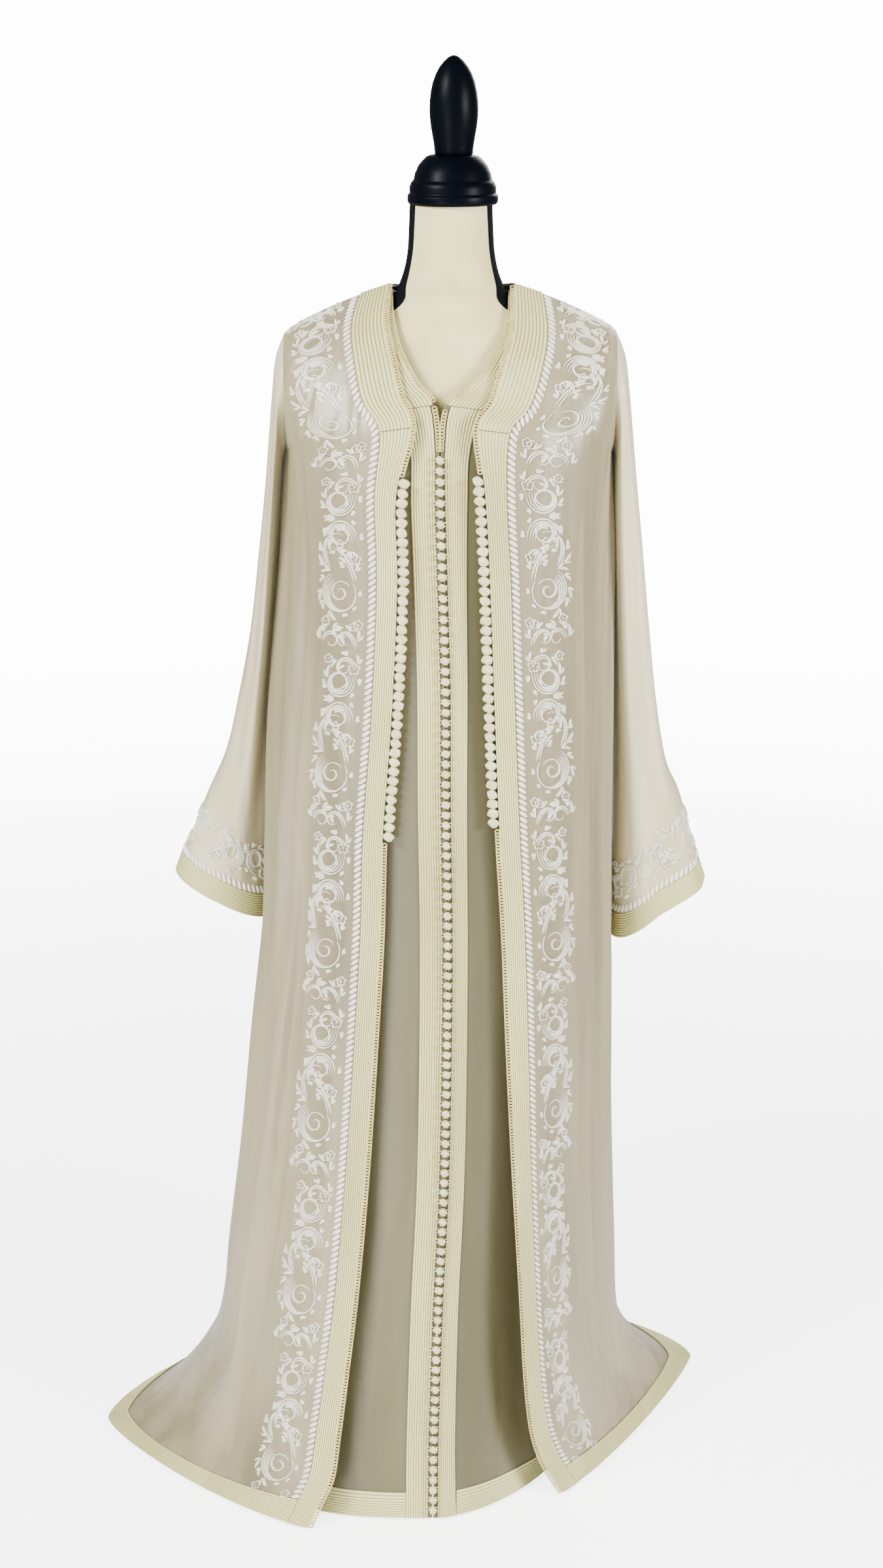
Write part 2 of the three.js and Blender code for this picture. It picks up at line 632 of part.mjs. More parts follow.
// Sleeves: each row runs from the inner (armpit) side to the outer (shoulder) side of the tube.
const sleeveColumns = ['innerX', 'innerZ', 'outerX', 'outerZ', 'deep', 'middleY', 'sag'];
const sleeves = {
  left: table(sleeveColumns, [
    [-192.2, 1258, -194.2, 1396, 52, 2, 0],
    [-195, 1249, -204, 1370, 56, 4, 0],
    [-196, 1234, -209, 1330, 60, 8, 0],
    [-197.5, 1212, -214, 1280, 63, 12, 0],
    [-199, 1183, -220, 1220, 65, 16, 0],
    [-201, 1138, -229, 1146, 66, 20, 0],
    [-207, 1045, -242, 1048, 66, 24, 0],
    [-212, 960, -258, 968, 65, 27, 0],
    [-216, 880, -276, 894, 64, 29, 0],
    [-220, 803, -300, 840, 62, 30, 1],
    [-223, 744, -322, 787, 61, 30, 2],
    [-224, 712, -333, 763, 61, 30, 3],
    [-225, 682, -343, 737, 61, 30, 3],
  ]),
  right: table(sleeveColumns, [
    [190.2, 1259, 192.2, 1399, 52, 2, 0],
    [193, 1250, 203, 1372, 56, 4, 0],
    [194, 1234, 209, 1332, 60, 8, 0],
    [195, 1212, 214.5, 1282, 63, 12, 0],
    [195.5, 1183, 221, 1222, 65, 16, 0],
    [196, 1138, 230, 1144, 66, 20, 0],
    [197.5, 1045, 241.5, 1040, 66, 24, 0],
    [198, 960, 252, 955, 65, 27, 0],
    [199, 880, 266, 880, 64, 29, 2],
    [200, 790, 284, 838, 62, 30, 5],
    [200, 726, 301, 782, 60, 30, 8],
    [200, 692, 309, 755, 60, 30, 10],
    [199, 662, 318, 727, 60, 30, 12],
  ]),
};
const sleeveFoldColumns = ['turn', 'wide', 'deep', 'low', 'high'];
const sleeveFolds = {
  left: table(sleeveFoldColumns, [
    [62, 26, -7, 0.6, 9.5],
    [96, 24, 6, 0.8, 9.0],
    [128, 24, -8, 0.6, 10.5],
    [235, 30, -7, 0.8, 9.5],
    [300, 26, -6, 0.8, 9.5],
  ]),
  right: table(sleeveFoldColumns, [
    [44, 26, 8, 4.0, 14.0],
    [84, 24, -7, 0.6, 11.6],
    [118, 24, 5, 0.8, 9.5],
    [240, 30, -7, 0.8, 9.5],
    [300, 26, -6, 0.8, 9.5],
  ]),
};
const sleeveSides = 18;
const sleeveHeights = [0, 1, 2, 3, 4, 5, 6, 7, 8, 9, 10, 10.65, 11, 12];

function sleeveFold(folds, turn, at) {
  let out = 0;
  for (const f of folds) {
    const middle = (f.low + f.high) / 2;
    const up = Math.max(1 - (Math.abs(at - middle) / ((f.high - f.low) / 2)) ** 3, 0);
    const away = (turn - f.turn) / f.wide;
    if (Math.abs(away) < 1) out += f.deep * up * Math.cos((away * Math.PI) / 2) ** 2;
  }
  return out;
}

function sleeveGrid(rows, folds, hole) {
  return sleeveHeights.map((at) => {
    const inner = readPoint(rows.map(({ innerX, innerZ }) => ({ pX: innerX, pY: 0, pZ: innerZ })), 'p', at);
    const outer = readPoint(rows.map(({ outerX, outerZ }) => ({ pX: outerX, pY: 0, pZ: outerZ })), 'p', at);
    const centre = inner.clone().add(outer).multiplyScalar(0.5).setY(read(rows, 'middleY', at));
    const reach = outer.clone().sub(inner).multiplyScalar(0.5);
    const deep = read(rows, 'deep', at);
    return Array.from({ length: sleeveSides }, (_, k) => {
      const turn = (k / sleeveSides) * 360;
      if (at === 0) {
        const seam = armholePoint(hole, turn, -1);
        return seam.setX(seam.x + Math.sign(seam.x) * seamGap);
      }
      const a = THREE.MathUtils.degToRad(turn);
      const pull = 1 + sleeveFold(folds, turn, at) / deep;
      const hang = read(rows, 'sag', at) * 2 * Math.max(Math.sin(a), 0) * Math.max(-Math.cos(a), 0);
      return centre
        .clone()
        .addScaledVector(reach, pull * Math.cos(a))
        .add(new THREE.Vector3(0, -deep * pull * Math.sin(a), -hang));
    });
  });
}

for (const hand of ['left', 'right']) {
  const grid = sleeveGrid(sleeves[hand], sleeveFolds[hand], robeArmholes[hand]);
  const middles = grid.map((row) =>
    row.reduce((sum, p) => sum.add(p), new THREE.Vector3()).divideScalar(row.length),
  );
  const { normals, flipped } = outwardOf(grid, true, (i) => middles[i]);
  normals[0].forEach((n) => n.setX(0).normalize());
  const cuff = grid.length - 2;
  const strip = (rows, columns, thick) => {
    const ring = grid.slice(rows, columns + 1).map((row) => row.map((p) => p.clone()));
    ring[ring.length - 1].forEach((p, k) => {
      const before = ring[ring.length - 2][k];
      if (columns < grid.length - 1) p.lerp(before, seamAir / p.distanceTo(before));
    });
    return slab(ring, normals.slice(rows, columns + 1), flipped, liftOff, liftOff + thick, true);
  };
  addPiece(`robe_sleeve_${hand}`, slab(grid, normals, flipped, -robeCloth, 0, true), materials.robe);
  addPiece(`robe_cuff_rope_${hand}`, strip(cuff - 1, cuff, ropeThick), materials.rope);
  addPiece(`robe_cuff_band_${hand}`, strip(cuff, cuff + 1, bandThick), materials.band);
}

// Rows of knots: a cord that swells into one knot after another along a line of points.
function knotRow(name, lineAt, from, to, pitch, knot) {
  const count = Math.round(Math.abs(from - to) / pitch);
  const profile = [
    { rise: 0.5, radius: knot.neck / 2 },
    { rise: 0.28, radius: knot.wide / 2 },
    { rise: -0.28, radius: knot.wide / 2 },
  ];
  const rings = [];
  for (let n = 0; n < count; n += 1) {
    for (const step of profile) {
      const z = from + ((to - from) * (n + 0.5 - step.rise * (knot.tall / pitch))) / count;
      rings.push({ z, radius: step.radius });
    }
  }
  rings.push({ z: to, radius: knot.neck / 2 });
  const positions = [];
  for (const ring of rings) {
    const centre = lineAt(ring.z);
    for (let k = 0; k < knot.sides; k += 1) {
      const a = (k / knot.sides) * 2 * Math.PI;
      positions.push(centre.x + ring.radius * Math.cos(a), centre.y + ring.radius * Math.sin(a), ring.z);
    }
  }
  const { sides } = knot;
  const indices = [];
  for (let i = 0; i < rings.length - 1; i += 1) {
    for (let k = 0; k < sides; k += 1) {
      const a = i * sides + k;
      const b = i * sides + ((k + 1) % sides);
      indices.push(a, a + sides, b + sides, a, b + sides, b);
    }
  }
  const end = (rings.length - 1) * sides;
  for (let k = 1; k < sides - 1; k += 1) {
    indices.push(0, k, k + 1);
    indices.push(end, end + k + 1, end + k);
  }
  const geometry = new THREE.BufferGeometry();
  geometry.setAttribute('position', new THREE.Float32BufferAttribute(positions, 3));
  geometry.setIndex(indices);
  addPiece(name, geometry, materials.knots);
}

// The point of a panel's front edge at a height above the floor.
function edgeAtHeight(panel, z) {
  const edge = panel.grid.map((row) => row[0]);
  let i = 1;
  while (i < edge.length - 1 && edge[i].z < z) i += 1;
  return edge[i - 1].clone().lerp(edge[i], (z - edge[i - 1].z) / (edge[i].z - edge[i - 1].z));
}

const knotStand = robeKnot.wide / 2 + liftOff;
function besideEdge(panel, x) {
  return (z) => edgeAtHeight(panel, z).add(new THREE.Vector3(x, 0.6, 0));
}
knotRow('robe_knots_left', besideEdge(robe.fronts.left, knotStand), 1240, 822, 10.9, robeKnot);
knotRow('robe_knots_right', besideEdge(robe.fronts.right, -knotStand), 1243, 838, 11.2, robeKnot);
const buttonStand = dressButton.wide / 2 + liftOff;
knotRow('dress_buttons', (z) => {
  const left = edgeAtHeight(dress.fronts.left, z);
  const right = edgeAtHeight(dress.fronts.right, z);
  return left.add(right).multiplyScalar(0.5).add(new THREE.Vector3(0, -buttonStand, 0));
}, 1266, 9, 12, dressButton);

// The dress form: a smooth limbless torso, oval at each height.
const formSections = table(['z', 'half', 'front', 'back', 'square'], [
  [740, 120, 84, 88, 2.0],
  [752, 136, 94, 98, 2.0],
  [800, 152, 99, 107, 2.0],
  [860, 160, 101, 111, 2.0],
  [910, 158, 99, 109, 2.0],
  [980, 138, 90, 98, 2.0],
  [1050, 122, 86, 87, 2.0],
  [1120, 130, 93, 84, 2.0],
  [1190, 138, 105, 86, 2.0],
  [1245, 144, 109, 88, 2.0],
  [1295, 148, 98, 88, 2.0],
  [1340, 151, 82, 84, 1.9],
  [1370, 150, 68, 76, 1.8],
  [1388, 145, 60, 68, 1.7],
  [1401, 134, 54, 62, 1.6],
  [1413, 111, 45, 57, 1.6],
  [1424, 86, 40, 53, 1.65],
  [1435, 68, 41, 51, 1.8],
  [1449, 61, 46, 50, 1.9],
  [1468, 54, 47.5, 49, 2.0],
  [1490, 50, 47, 47, 2.0],
  [1516, 48.5, 46, 46, 2.0],
  [1539.7, 47.5, 45, 45, 2.0],
]);
const capLean = THREE.MathUtils.degToRad(5); // the neck's cap leans a little forward

function ovalStack(sections, sides) {
  const positions = [];
  for (const s of sections) {
    for (let k = 0; k < sides; k += 1) {
      const a = (k / sides) * 2 * Math.PI;
      const across = Math.sign(Math.cos(a)) * Math.abs(Math.cos(a)) ** (2 / s.square);
      const along = Math.sign(Math.sin(a)) * Math.abs(Math.sin(a)) ** (2 / s.square);
      const y = (along < 0 ? s.front : s.back) * along;
      const tilt = s === sections[sections.length - 1] ? y * Math.tan(capLean) : 0;
      positions.push(s.half * across, y, s.z + tilt);
    }
  }
  const indices = [];
  for (let i = 0; i < sections.length - 1; i += 1) {
    for (let k = 0; k < sides; k += 1) {
      const a = i * sides + k;
      const b = i * sides + ((k + 1) % sides);
      indices.push(a, b, b + sides, a, b + sides, a + sides);
    }
  }
  const end = (sections.length - 1) * sides;
  for (let k = 1; k < sides - 1; k += 1) {
    indices.push(0, k + 1, k);
    indices.push(end, end + k, end + k + 1);
  }
  const geometry = new THREE.BufferGeometry();
  geometry.setAttribute('position', new THREE.Float32BufferAttribute(positions, 3));
  geometry.setIndex(indices);
  return geometry;
}

addPiece('form_body', ovalStack(formSections, formSides), materials.linen);

function lathe(profile, sides = roundSides) {
  const geometry = new THREE.LatheGeometry(profile.map(([r, z]) => new THREE.Vector2(r, z)), sides);
  return geometry.rotateX(Math.PI / 2);
}

// The turned neck cap and its finial, which lean a little forward with the neck.
const capProfile = [[0, 0], [50, 0], [52, 3], [52, 10], [49.5, 12.5], [49.8, 19], [48, 24], [45, 27], [43.5, 34],
  [39.5, 43], [33, 50], [29.5, 53], [24, 54.5], [0, 54.5]];
const knobProfile = [[0, 0], [21.8, 0], [22.2, 6], [24.8, 20], [27, 36], [27.8, 50], [26.8, 64], [23.4, 79],
  [18, 92], [10.5, 102], [4, 106], [0, 106.6]];
const neckCap = addPiece('form_cap', lathe(capProfile), materials.black);
neckCap.position.set(2, 0, 1540);
neckCap.rotation.x = capLean;
const knob = addPiece('form_knob', lathe(knobProfile), materials.black);
knob.position.set(3, -54.9 * Math.sin(capLean), 1540 + 54.9 * Math.cos(capLean));
knob.rotation.x = capLean;

// The stand: a round foot with a hub, and the pole that carries the form.
const footProfile = [
  [0, 0],
  [base.radius - base.edge, 0],
  [base.radius, base.edge],
  [base.radius, base.tall - base.edge],
  [base.radius - base.edge, base.tall],
  [base.hubRadius + 4, base.tall + 3],
  [base.hubRadius, base.tall + 10],
  [base.hubRadius - 6, base.hubTall],
  [0, base.hubTall],
];
addPiece('stand_foot', lathe(footProfile), materials.black);
const poleBottom = base.hubTall + liftOff;
const poleTall = pole.top - poleBottom;
const poleShape = new THREE.CylinderGeometry(pole.radius, pole.radius, poleTall, roundSides);
const poleMesh = addPiece('stand_pole', poleShape, materials.black);
poleMesh.rotation.x = Math.PI / 2;
poleMesh.position.set(0, 0, poleBottom + poleTall / 2);

export default model;
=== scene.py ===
# A two-layer wedding-style robe set on a limbless dress form, dressed around its CAD frame.
# The tables are in millimetres, as the pattern is cut. What is built is in metres.
import math

import bpy
import numpy as np
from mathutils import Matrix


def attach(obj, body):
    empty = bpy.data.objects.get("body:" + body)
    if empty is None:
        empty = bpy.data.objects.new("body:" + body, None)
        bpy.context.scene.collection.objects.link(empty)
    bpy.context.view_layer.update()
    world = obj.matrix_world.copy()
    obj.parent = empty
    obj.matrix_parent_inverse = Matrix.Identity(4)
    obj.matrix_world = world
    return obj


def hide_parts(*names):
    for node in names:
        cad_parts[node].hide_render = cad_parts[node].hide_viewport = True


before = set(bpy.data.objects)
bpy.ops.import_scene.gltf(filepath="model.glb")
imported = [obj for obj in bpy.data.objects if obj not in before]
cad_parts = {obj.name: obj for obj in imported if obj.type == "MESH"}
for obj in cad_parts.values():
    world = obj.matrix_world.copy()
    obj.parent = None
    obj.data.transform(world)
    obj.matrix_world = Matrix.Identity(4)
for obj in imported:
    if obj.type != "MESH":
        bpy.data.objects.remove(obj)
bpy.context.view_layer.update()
bpy.ops.object.select_all(action="DESELECT")
print("frame loaded:", len(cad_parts), "nodes")

mm = 0.001
dice = np.random.default_rng(41)

cut = {
    "robeCloth": 1.6,
    "dressCloth": 1.4,
    "bandThick": 1.7,
    "ropeWide": 10.0,
    "seamGap": 0.18,
    "rowStep": 10.1,  # spacing of the rows of points up a panel
    "sectionSteps": 121,
    "shoulderRows": 4,
    "edgeHold": 9,  # how closely the back's edge keeps to the armhole below the shoulder
    "robeNeckShare": 0.448,
    "dressNeckShare": 0.507,
    "robeColumns": 97,
    "robeBackColumns": 65,
    "dressColumns": 61,
    "dressBackColumns": 41,
    "sleeveAround": 92,
    "sleeveSteps": 94,
}

# Pattern tables. Each panel row is the open edge, then the side seam or armhole, both as x, y, z,
# then the place on the armhole, the roundness of the section and the width of the sewn band.
robeLeft = [
    [-171, -278, 3, -449, -32, 3, 180, 1.25, 27],
    [-157, -271, 33, -423, -25, 7, 180, 1.35, 27],
    [-144, -264, 62, -381, -15, 29, 180, 1.5, 26],
    [-137.5, -250, 104, -340, -8, 70, 180, 1.7, 25],
    [-128, -234, 176, -303, 0, 138, 180, 1.9, 24],
    [-115, -214, 280, -283, 0, 255, 180, 2, 23],
    [-102, -190, 420, -258, 0, 400, 180, 2, 23],
    [-91.5, -168, 570, -238, 0, 560, 180, 2, 23],
    [-83, -154, 710, -220, 0, 700, 180, 2, 23],
    [-79, -146, 830, -212, 0, 825, 180, 2, 23],
    [-68.5, -138, 965, -204, 0, 960, 180, 2, 23],
    [-61.2, -132, 1117, -193, 0, 1115, 180, 2, 23],
    [-62, -127, 1220, -189, 0, 1205, 180, 2.3, 24],
    [-44.4, -120.5, 1297, -191, 2, 1258, 180, 2.8, 36],
    [-57.6, -106, 1331, 0, 0, 0, 128, 2.5, 42],
    [-66.6, -86, 1368.5, 0, 0, 0, 84, 2, 42],
    [-76, -50, 1411, 0, 0, 0, 44, 1.6, 38],
    [-72, -1, 1450, 0, 0, 0, 0, 1.4, 34],
]

robeRight = [
    [137.5, -204, 3, 334, 124, 3, 180, 1.15, 27],
    [121, -213, 36, 300, 98, 18, 180, 1.22, 27],
    [110, -219, 62, 266, 60, 50, 180, 1.22, 26],
    [99, -224, 104, 236, 25, 92, 180, 1.22, 25],
    [91, -224, 176, 219, 6, 150, 180, 1.2, 24],
    [85, -210, 280, 213, 0, 262, 180, 1.17, 23.5],
    [77, -184, 420, 207, 0, 405, 180, 1.22, 23.5],
    [70, -165, 570, 202, 0, 560, 180, 1.4, 23.5],
    [64, -153, 710, 196, 0, 700, 180, 1.55, 23.5],
    [56.5, -145, 830, 192, 0, 825, 180, 1.75, 23.5],
    [50.4, -138, 965, 189, 0, 960, 180, 1.9, 23.5],
    [44.3, -133, 1117, 186, 0, 1115, 180, 2, 23.5],
    [38.3, -128.5, 1220, 186, 0, 1205, 180, 2.3, 24],
    [29.5, -122.5, 1295, 189, 2, 1259, 180, 2.8, 36],
    [46, -108, 1322, 0, 0, 0, 128, 2.5, 42],
    [61.6, -86, 1368.5, 0, 0, 0, 84, 2, 42],
    [72, -50, 1405, 0, 0, 0, 44, 1.6, 38],
    [73, -1, 1450.6, 0, 0, 0, 0, 1.4, 34],
]

# Each row of a back is its middle line as x, y, z, then the roundness of its left and right half
robeBack = [
    [0, 300, 3, 1.55, 1.6],
    [0, 290, 32, 1.6, 1.65],
    [0, 280, 62, 1.65, 1.7],
    [0, 266, 104, 1.75, 1.8],
    [0, 246, 170, 1.85, 1.9],
    [0, 221, 275, 2, 2],
    [0, 194, 420, 2, 2],
    [0, 170, 570, 2, 2],
    [0, 153, 710, 2, 2],
    [0, 142, 830, 2, 2],
    [0, 130, 965, 2.1, 2.1],
    [0, 119, 1117, 2.2, 2.2],
    [0, 113, 1210, 2.4, 2.4],
    [0, 110, 1275, 2.6, 2.6],
    [0, 106, 1322, 2.6, 2.6],
    [0, 98, 1366, 2.6, 2.6],
    [0, 84, 1406, 2.5, 2.5],
    [0, 66, 1440, 2.2, 2.2],
]

dressLeft = [
    [-22.1, -258, 3, -262, 10, 3, 180, 3.2, 32],
    [-21.9, -251, 33, -257, 10, 33, 180, 3, 32],
    [-21.1, -236, 100, -248, 8, 100, 180, 2.7, 32],
    [-16.1, -206, 250, -238, 6, 250, 180, 2.4, 32],
    [-8.8, -184, 400, -226, 4, 400, 180, 2.2, 32],
    [-5.6, -166, 550, -214, 2, 550, 180, 2.1, 32],
    [-4.5, -151, 700, -203, 0, 700, 180, 2.1, 32],
    [-6.6, -138, 860, -190, 0, 860, 180, 2.1, 32],
    [-7.2, -127, 1000, -177, 0, 1000, 180, 2.1, 32],
    [-10.6, -121, 1120, -168, 0, 1120, 180, 2.1, 32],
    [-13.2, -118, 1210, -162, 0, 1205, 180, 2.2, 32.5],
    [-13.3, -114.5, 1268, -159, 2, 1263, 180, 2.2, 33],
    [-19.5, -104, 1321, 0, 0, 0, 138, 2.1, 40],
    [-40, -95, 1344, 0, 0, 0, 106, 2, 38],
    [-60, -71, 1381, 0, 0, 0, 68, 1.8, 36],
    [-70, -36, 1418, 0, 0, 0, 34, 1.6, 34],
    [-71, 1, 1443.5, 0, 0, 0, 0, 1.4, 33],
]

dressRight = [
    [-20.9, -258, 3, 180, 20, 3, 180, 1.7, 28],
    [-20.7, -251, 33, 180, 18, 33, 180, 1.7, 27],
    [-19.9, -236, 100, 178, 14, 100, 180, 1.7, 25.5],
    [-14.9, -206, 250, 173, 8, 250, 180, 1.75, 24],
    [-7.6, -184, 400, 169, 4, 400, 180, 1.8, 23.5],
    [-4.4, -166, 550, 167, 2, 550, 180, 1.9, 23.3],
    [-3.3, -151, 700, 166, 0, 700, 180, 2, 23],
    [-5.4, -138, 860, 165.5, 0, 860, 180, 2, 24],
    [-6, -127, 1000, 162.5, 0, 1000, 180, 2.1, 25],
    [-9.4, -121, 1120, 158.5, 0, 1120, 180, 2.1, 27.5],
    [-12, -118, 1210, 156.5, 0, 1205, 180, 2.2, 30.5],
    [-12.1, -114.5, 1268, 155, 2, 1263, 180, 2.2, 33],
    [-5, -104, 1320, 0, 0, 0, 138, 2.1, 40],
    [25, -97, 1338, 0, 0, 0, 106, 2, 38],
    [47, -79.4, 1364, 0, 0, 0, 68, 1.8, 36],
    [67, -43.4, 1406, 0, 0, 0, 34, 1.6, 34],
    [71, 1, 1443.5, 0, 0, 0, 0, 1.4, 33],
]

dressBack = [
    [0, 232, 3, 2.2, 2],
    [0, 224, 33, 2.2, 2],
    [0, 208, 100, 2.1, 2],
    [0, 184, 250, 2, 2],
    [0, 164, 400, 2, 2],
    [0, 147, 550, 2, 2],
    [0, 135, 700, 2, 2],
    [0, 124, 860, 2.1, 2.1],
    [0, 113, 1000, 2.1, 2.1],
    [0, 105, 1120, 2.1, 2.1],
    [0, 101, 1210, 2.1, 2.1],
    [0, 99, 1272, 2.1, 2.1],
    [0, 96, 1318, 2.5, 2.5],
    [0, 92, 1350, 2.5, 2.5],
    [0, 83, 1382, 2.4, 2.4],
    [0, 73, 1410, 2.3, 2.3],
    [0, 61, 1434, 2.2, 2.2],
]

# Each fold is its place across the panel, its width and depth, its first and last row and its drift
robeLeftFolds = [
    [0.86, 0.12, 13, 4.6, 12.9, -0.01],
    [0.66, 0.09, -8, 1.8, 11.8, -0.02],
    [0.54, 0.08, 6, 2.6, 10.5, 0.03],
    [0.44, 0.07, -5, 3, 9.6, 0.02],
]

robeRightFolds = [
    [0.88, 0.11, 11, 5, 12.9, 0],
    [0.72, 0.08, -8, 2.2, 12.2, 0.02],
    [0.6, 0.08, 6, 2.8, 11, -0.02],
]

robeBackFolds = [
    [0.12, 0.1, 10, 0.4, 13, 0.01],
    [0.3, 0.09, -11, 0.4, 12.6, 0.02],
    [0.46, 0.1, 12, 0.4, 13.2, 0.01],
    [0.64, 0.09, -10, 0.6, 12.2, 0],
    [0.8, 0.09, 8, 1.4, 9, -0.02],
]

dressFolds = [
    [0.5, 0.16, 9, 0.6, 7.5, 0.03],
    [0.78, 0.14, -8, 0.6, 8, 0],
]

# Each row of a sleeve is its inner x and z, its outer x and z, half its depth, its shift back and its hang.
# The place and width of a sleeve's fold are in degrees round it.
sleeveRows = {
    "left": [
        [-192.2, 1258, -194.2, 1396, 52, 2, 0],
        [-195, 1249, -204, 1370, 56, 4, 0],
        [-196, 1234, -209, 1330, 60, 8, 0],
        [-197.5, 1212, -214, 1280, 63, 12, 0],
        [-199, 1183, -220, 1220, 65, 16, 0],
        [-201, 1138, -229, 1146, 66, 20, 0],
        [-207, 1045, -242, 1048, 66, 24, 0],
        [-212, 960, -258, 968, 65, 27, 0],
        [-216, 880, -276, 894, 64, 29, 0],
        [-220, 803, -300, 840, 62, 30, 1],
        [-223, 744, -322, 787, 61, 30, 2],
        [-224, 712, -333, 763, 61, 30, 3],
        [-225, 682, -343, 737, 61, 30, 3],
    ],
    "right": [
        [190.2, 1259, 192.2, 1399, 52, 2, 0],
        [190.5, 1250, 203, 1372, 56, 4, 0],
        [190, 1234, 209, 1332, 60, 8, 0],
        [189.5, 1212, 214.5, 1282, 63, 12, 0],
        [189.5, 1183, 221, 1222, 65, 16, 0],
        [190, 1138, 230, 1144, 66, 20, 0],
        [193, 1045, 241.5, 1040, 66, 24, 0],
        [195.5, 960, 252, 955, 65, 27, 0],
        [199, 880, 266, 880, 64, 29, 2],
        [200, 790, 284, 838, 62, 30, 5],
        [200, 726, 301, 782, 60, 30, 8],
        [200, 692, 309, 755, 60, 30, 10],
        [199, 662, 318, 727, 60, 30, 12],
    ],
}

sleeveFolds = {
    "left": [
        [62, 26, -7, 0.6, 9.5, 0],
        [96, 24, 6, 0.8, 9, 0],
        [128, 24, -8, 0.6, 10.5, 0],
        [235, 30, -7, 0.8, 9.5, 0],
        [300, 26, -6, 0.8, 9.5, 0],
    ],
    "right": [
        [44, 26, 8, 4, 14, 0],
        [84, 24, -7, 0.6, 11.6, 0],
        [118, 24, 5, 0.8, 9.5, 0],
        [240, 30, -7, 0.8, 9.5, 0],
        [300, 26, -6, 0.8, 9.5, 0],
    ],
}

# The form: height, half width, front depth, back depth and roundness of each section.
formSections = [
    [740, 120, 84, 88, 2],
    [752, 136, 94, 98, 2],
    [800, 152, 99, 107, 2],
    [860, 160, 101, 111, 2],
    [910, 158, 99, 109, 2],
    [980, 138, 90, 98, 2],
    [1050, 122, 86, 87, 2],
    [1120, 130, 93, 84, 2],
    [1190, 138, 105, 86, 2],
    [1245, 144, 109, 88, 2],
    [1295, 148, 98, 88, 2],
    [1340, 151, 82, 84, 1.9],
    [1370, 150, 68, 76, 1.8],
    [1388, 145, 60, 68, 1.7],
    [1401, 134, 54, 62, 1.6],
    [1413, 111, 45, 57, 1.6],
    [1424, 86, 40, 53, 1.65],
    [1435, 68, 41, 51, 1.8],
    [1449, 61, 46, 50, 1.9],
    [1468, 54, 47.5, 49, 2],
    [1490, 50, 47, 47, 2],
    [1516, 48.5, 46, 46, 2],
    [1539.7, 47.5, 45, 45, 2],
]

robeHoles = {
    "left": {"x": -192, "y": 2, "z": 1327, "tall": 69, "deep": 52, "lean": -1},
    "right": {"x": 190, "y": 2, "z": 1329, "tall": 70, "deep": 52, "lean": 1},
}
dressHoles = {
    "left": {"x": -161, "y": 2, "z": 1333, "tall": 70, "deep": 48, "lean": -2},
    "right": {"x": 157, "y": 2, "z": 1333, "tall": 70, "deep": 48, "lean": 2},
}


# Reading the pattern
def readTable(rows, at):
    rows = np.asarray(rows, float)
    at = np.atleast_1d(at)
    last = len(rows) - 1
    i = np.clip(np.floor(at).astype(int), 0, last - 1)
    t = (at - i)[:, None]
    p1, p2 = rows[i], rows[i + 1]
    p0 = np.where((i > 0)[:, None], rows[np.maximum(i - 1, 0)], 2 * p1 - p2)
    p3 = np.where((i + 1 < last)[:, None], rows[np.minimum(i + 2, last)], 2 * p2 - p1)
    bend = 2 * p0 - 5 * p1 + 4 * p2 - p3
    return p1 + 0.5 * t * (p2 - p0 + t * (bend + t * (3 * (p1 - p2) + p3 - p0)))


def armholePoint(hole, turn, facing):
    a = np.radians(turn)
    x = hole["x"] + hole["lean"] * np.cos(a)
    y = hole["y"] + facing * hole["deep"] * np.sin(a)
    return np.stack([x, y, hole["z"] + hole["tall"] * np.cos(a)], axis=-1)


def sideOf(rows, hole, facing, at):
    turns = np.array([row[6] for row in rows])
    firstOnHole = int(np.argmax(turns < 180))
    armpit = firstOnHole - 1
    below = readTable(rows[:firstOnHole], np.minimum(at, armpit))[:, 3:6]
    turn = np.clip(readTable(rows[armpit:], np.maximum(at - armpit, 0))[:, 6], 0, 180)
    return np.where((at <= armpit)[:, None], below, armholePoint(hole, turn, facing))


def foldOffset(folds, share, at):
    out = np.zeros_like(share)
    for place, wide, deep, low, high, drift in folds:
        middle, half = (low + high) / 2, (high - low) / 2
        up = np.maximum(1 - (np.abs(at - middle) / half) ** 3, 0)
        away = (share - place - drift * (at - middle) / half) / wide
        out += np.where(np.abs(away) < 1, deep * up * np.cos(away * math.pi / 2) ** 2, 0)
    return out


def distances(line):
    return np.concatenate([[0], np.cumsum(np.linalg.norm(np.diff(line, axis=0), axis=1))])


def lengthsAlong(lines):
    return np.stack([distances(line) for line in lines])


def pointsAt(stops, lengths, points):
    return np.stack([np.interp(stops, lengths, points[:, k]) for k in range(3)], axis=1)


def unit(vectors):
    return vectors / np.maximum(np.linalg.norm(vectors, axis=-1, keepdims=True), 1e-12)


def respace(lines, columns):
    lengths = lengthsAlong(lines)
    stops = (lengths[:, -1:] - cut["seamGap"]) * np.linspace(0, 1, columns)[None, :]
    return np.stack([pointsAt(*row) for row in zip(stops, lengths, lines)])


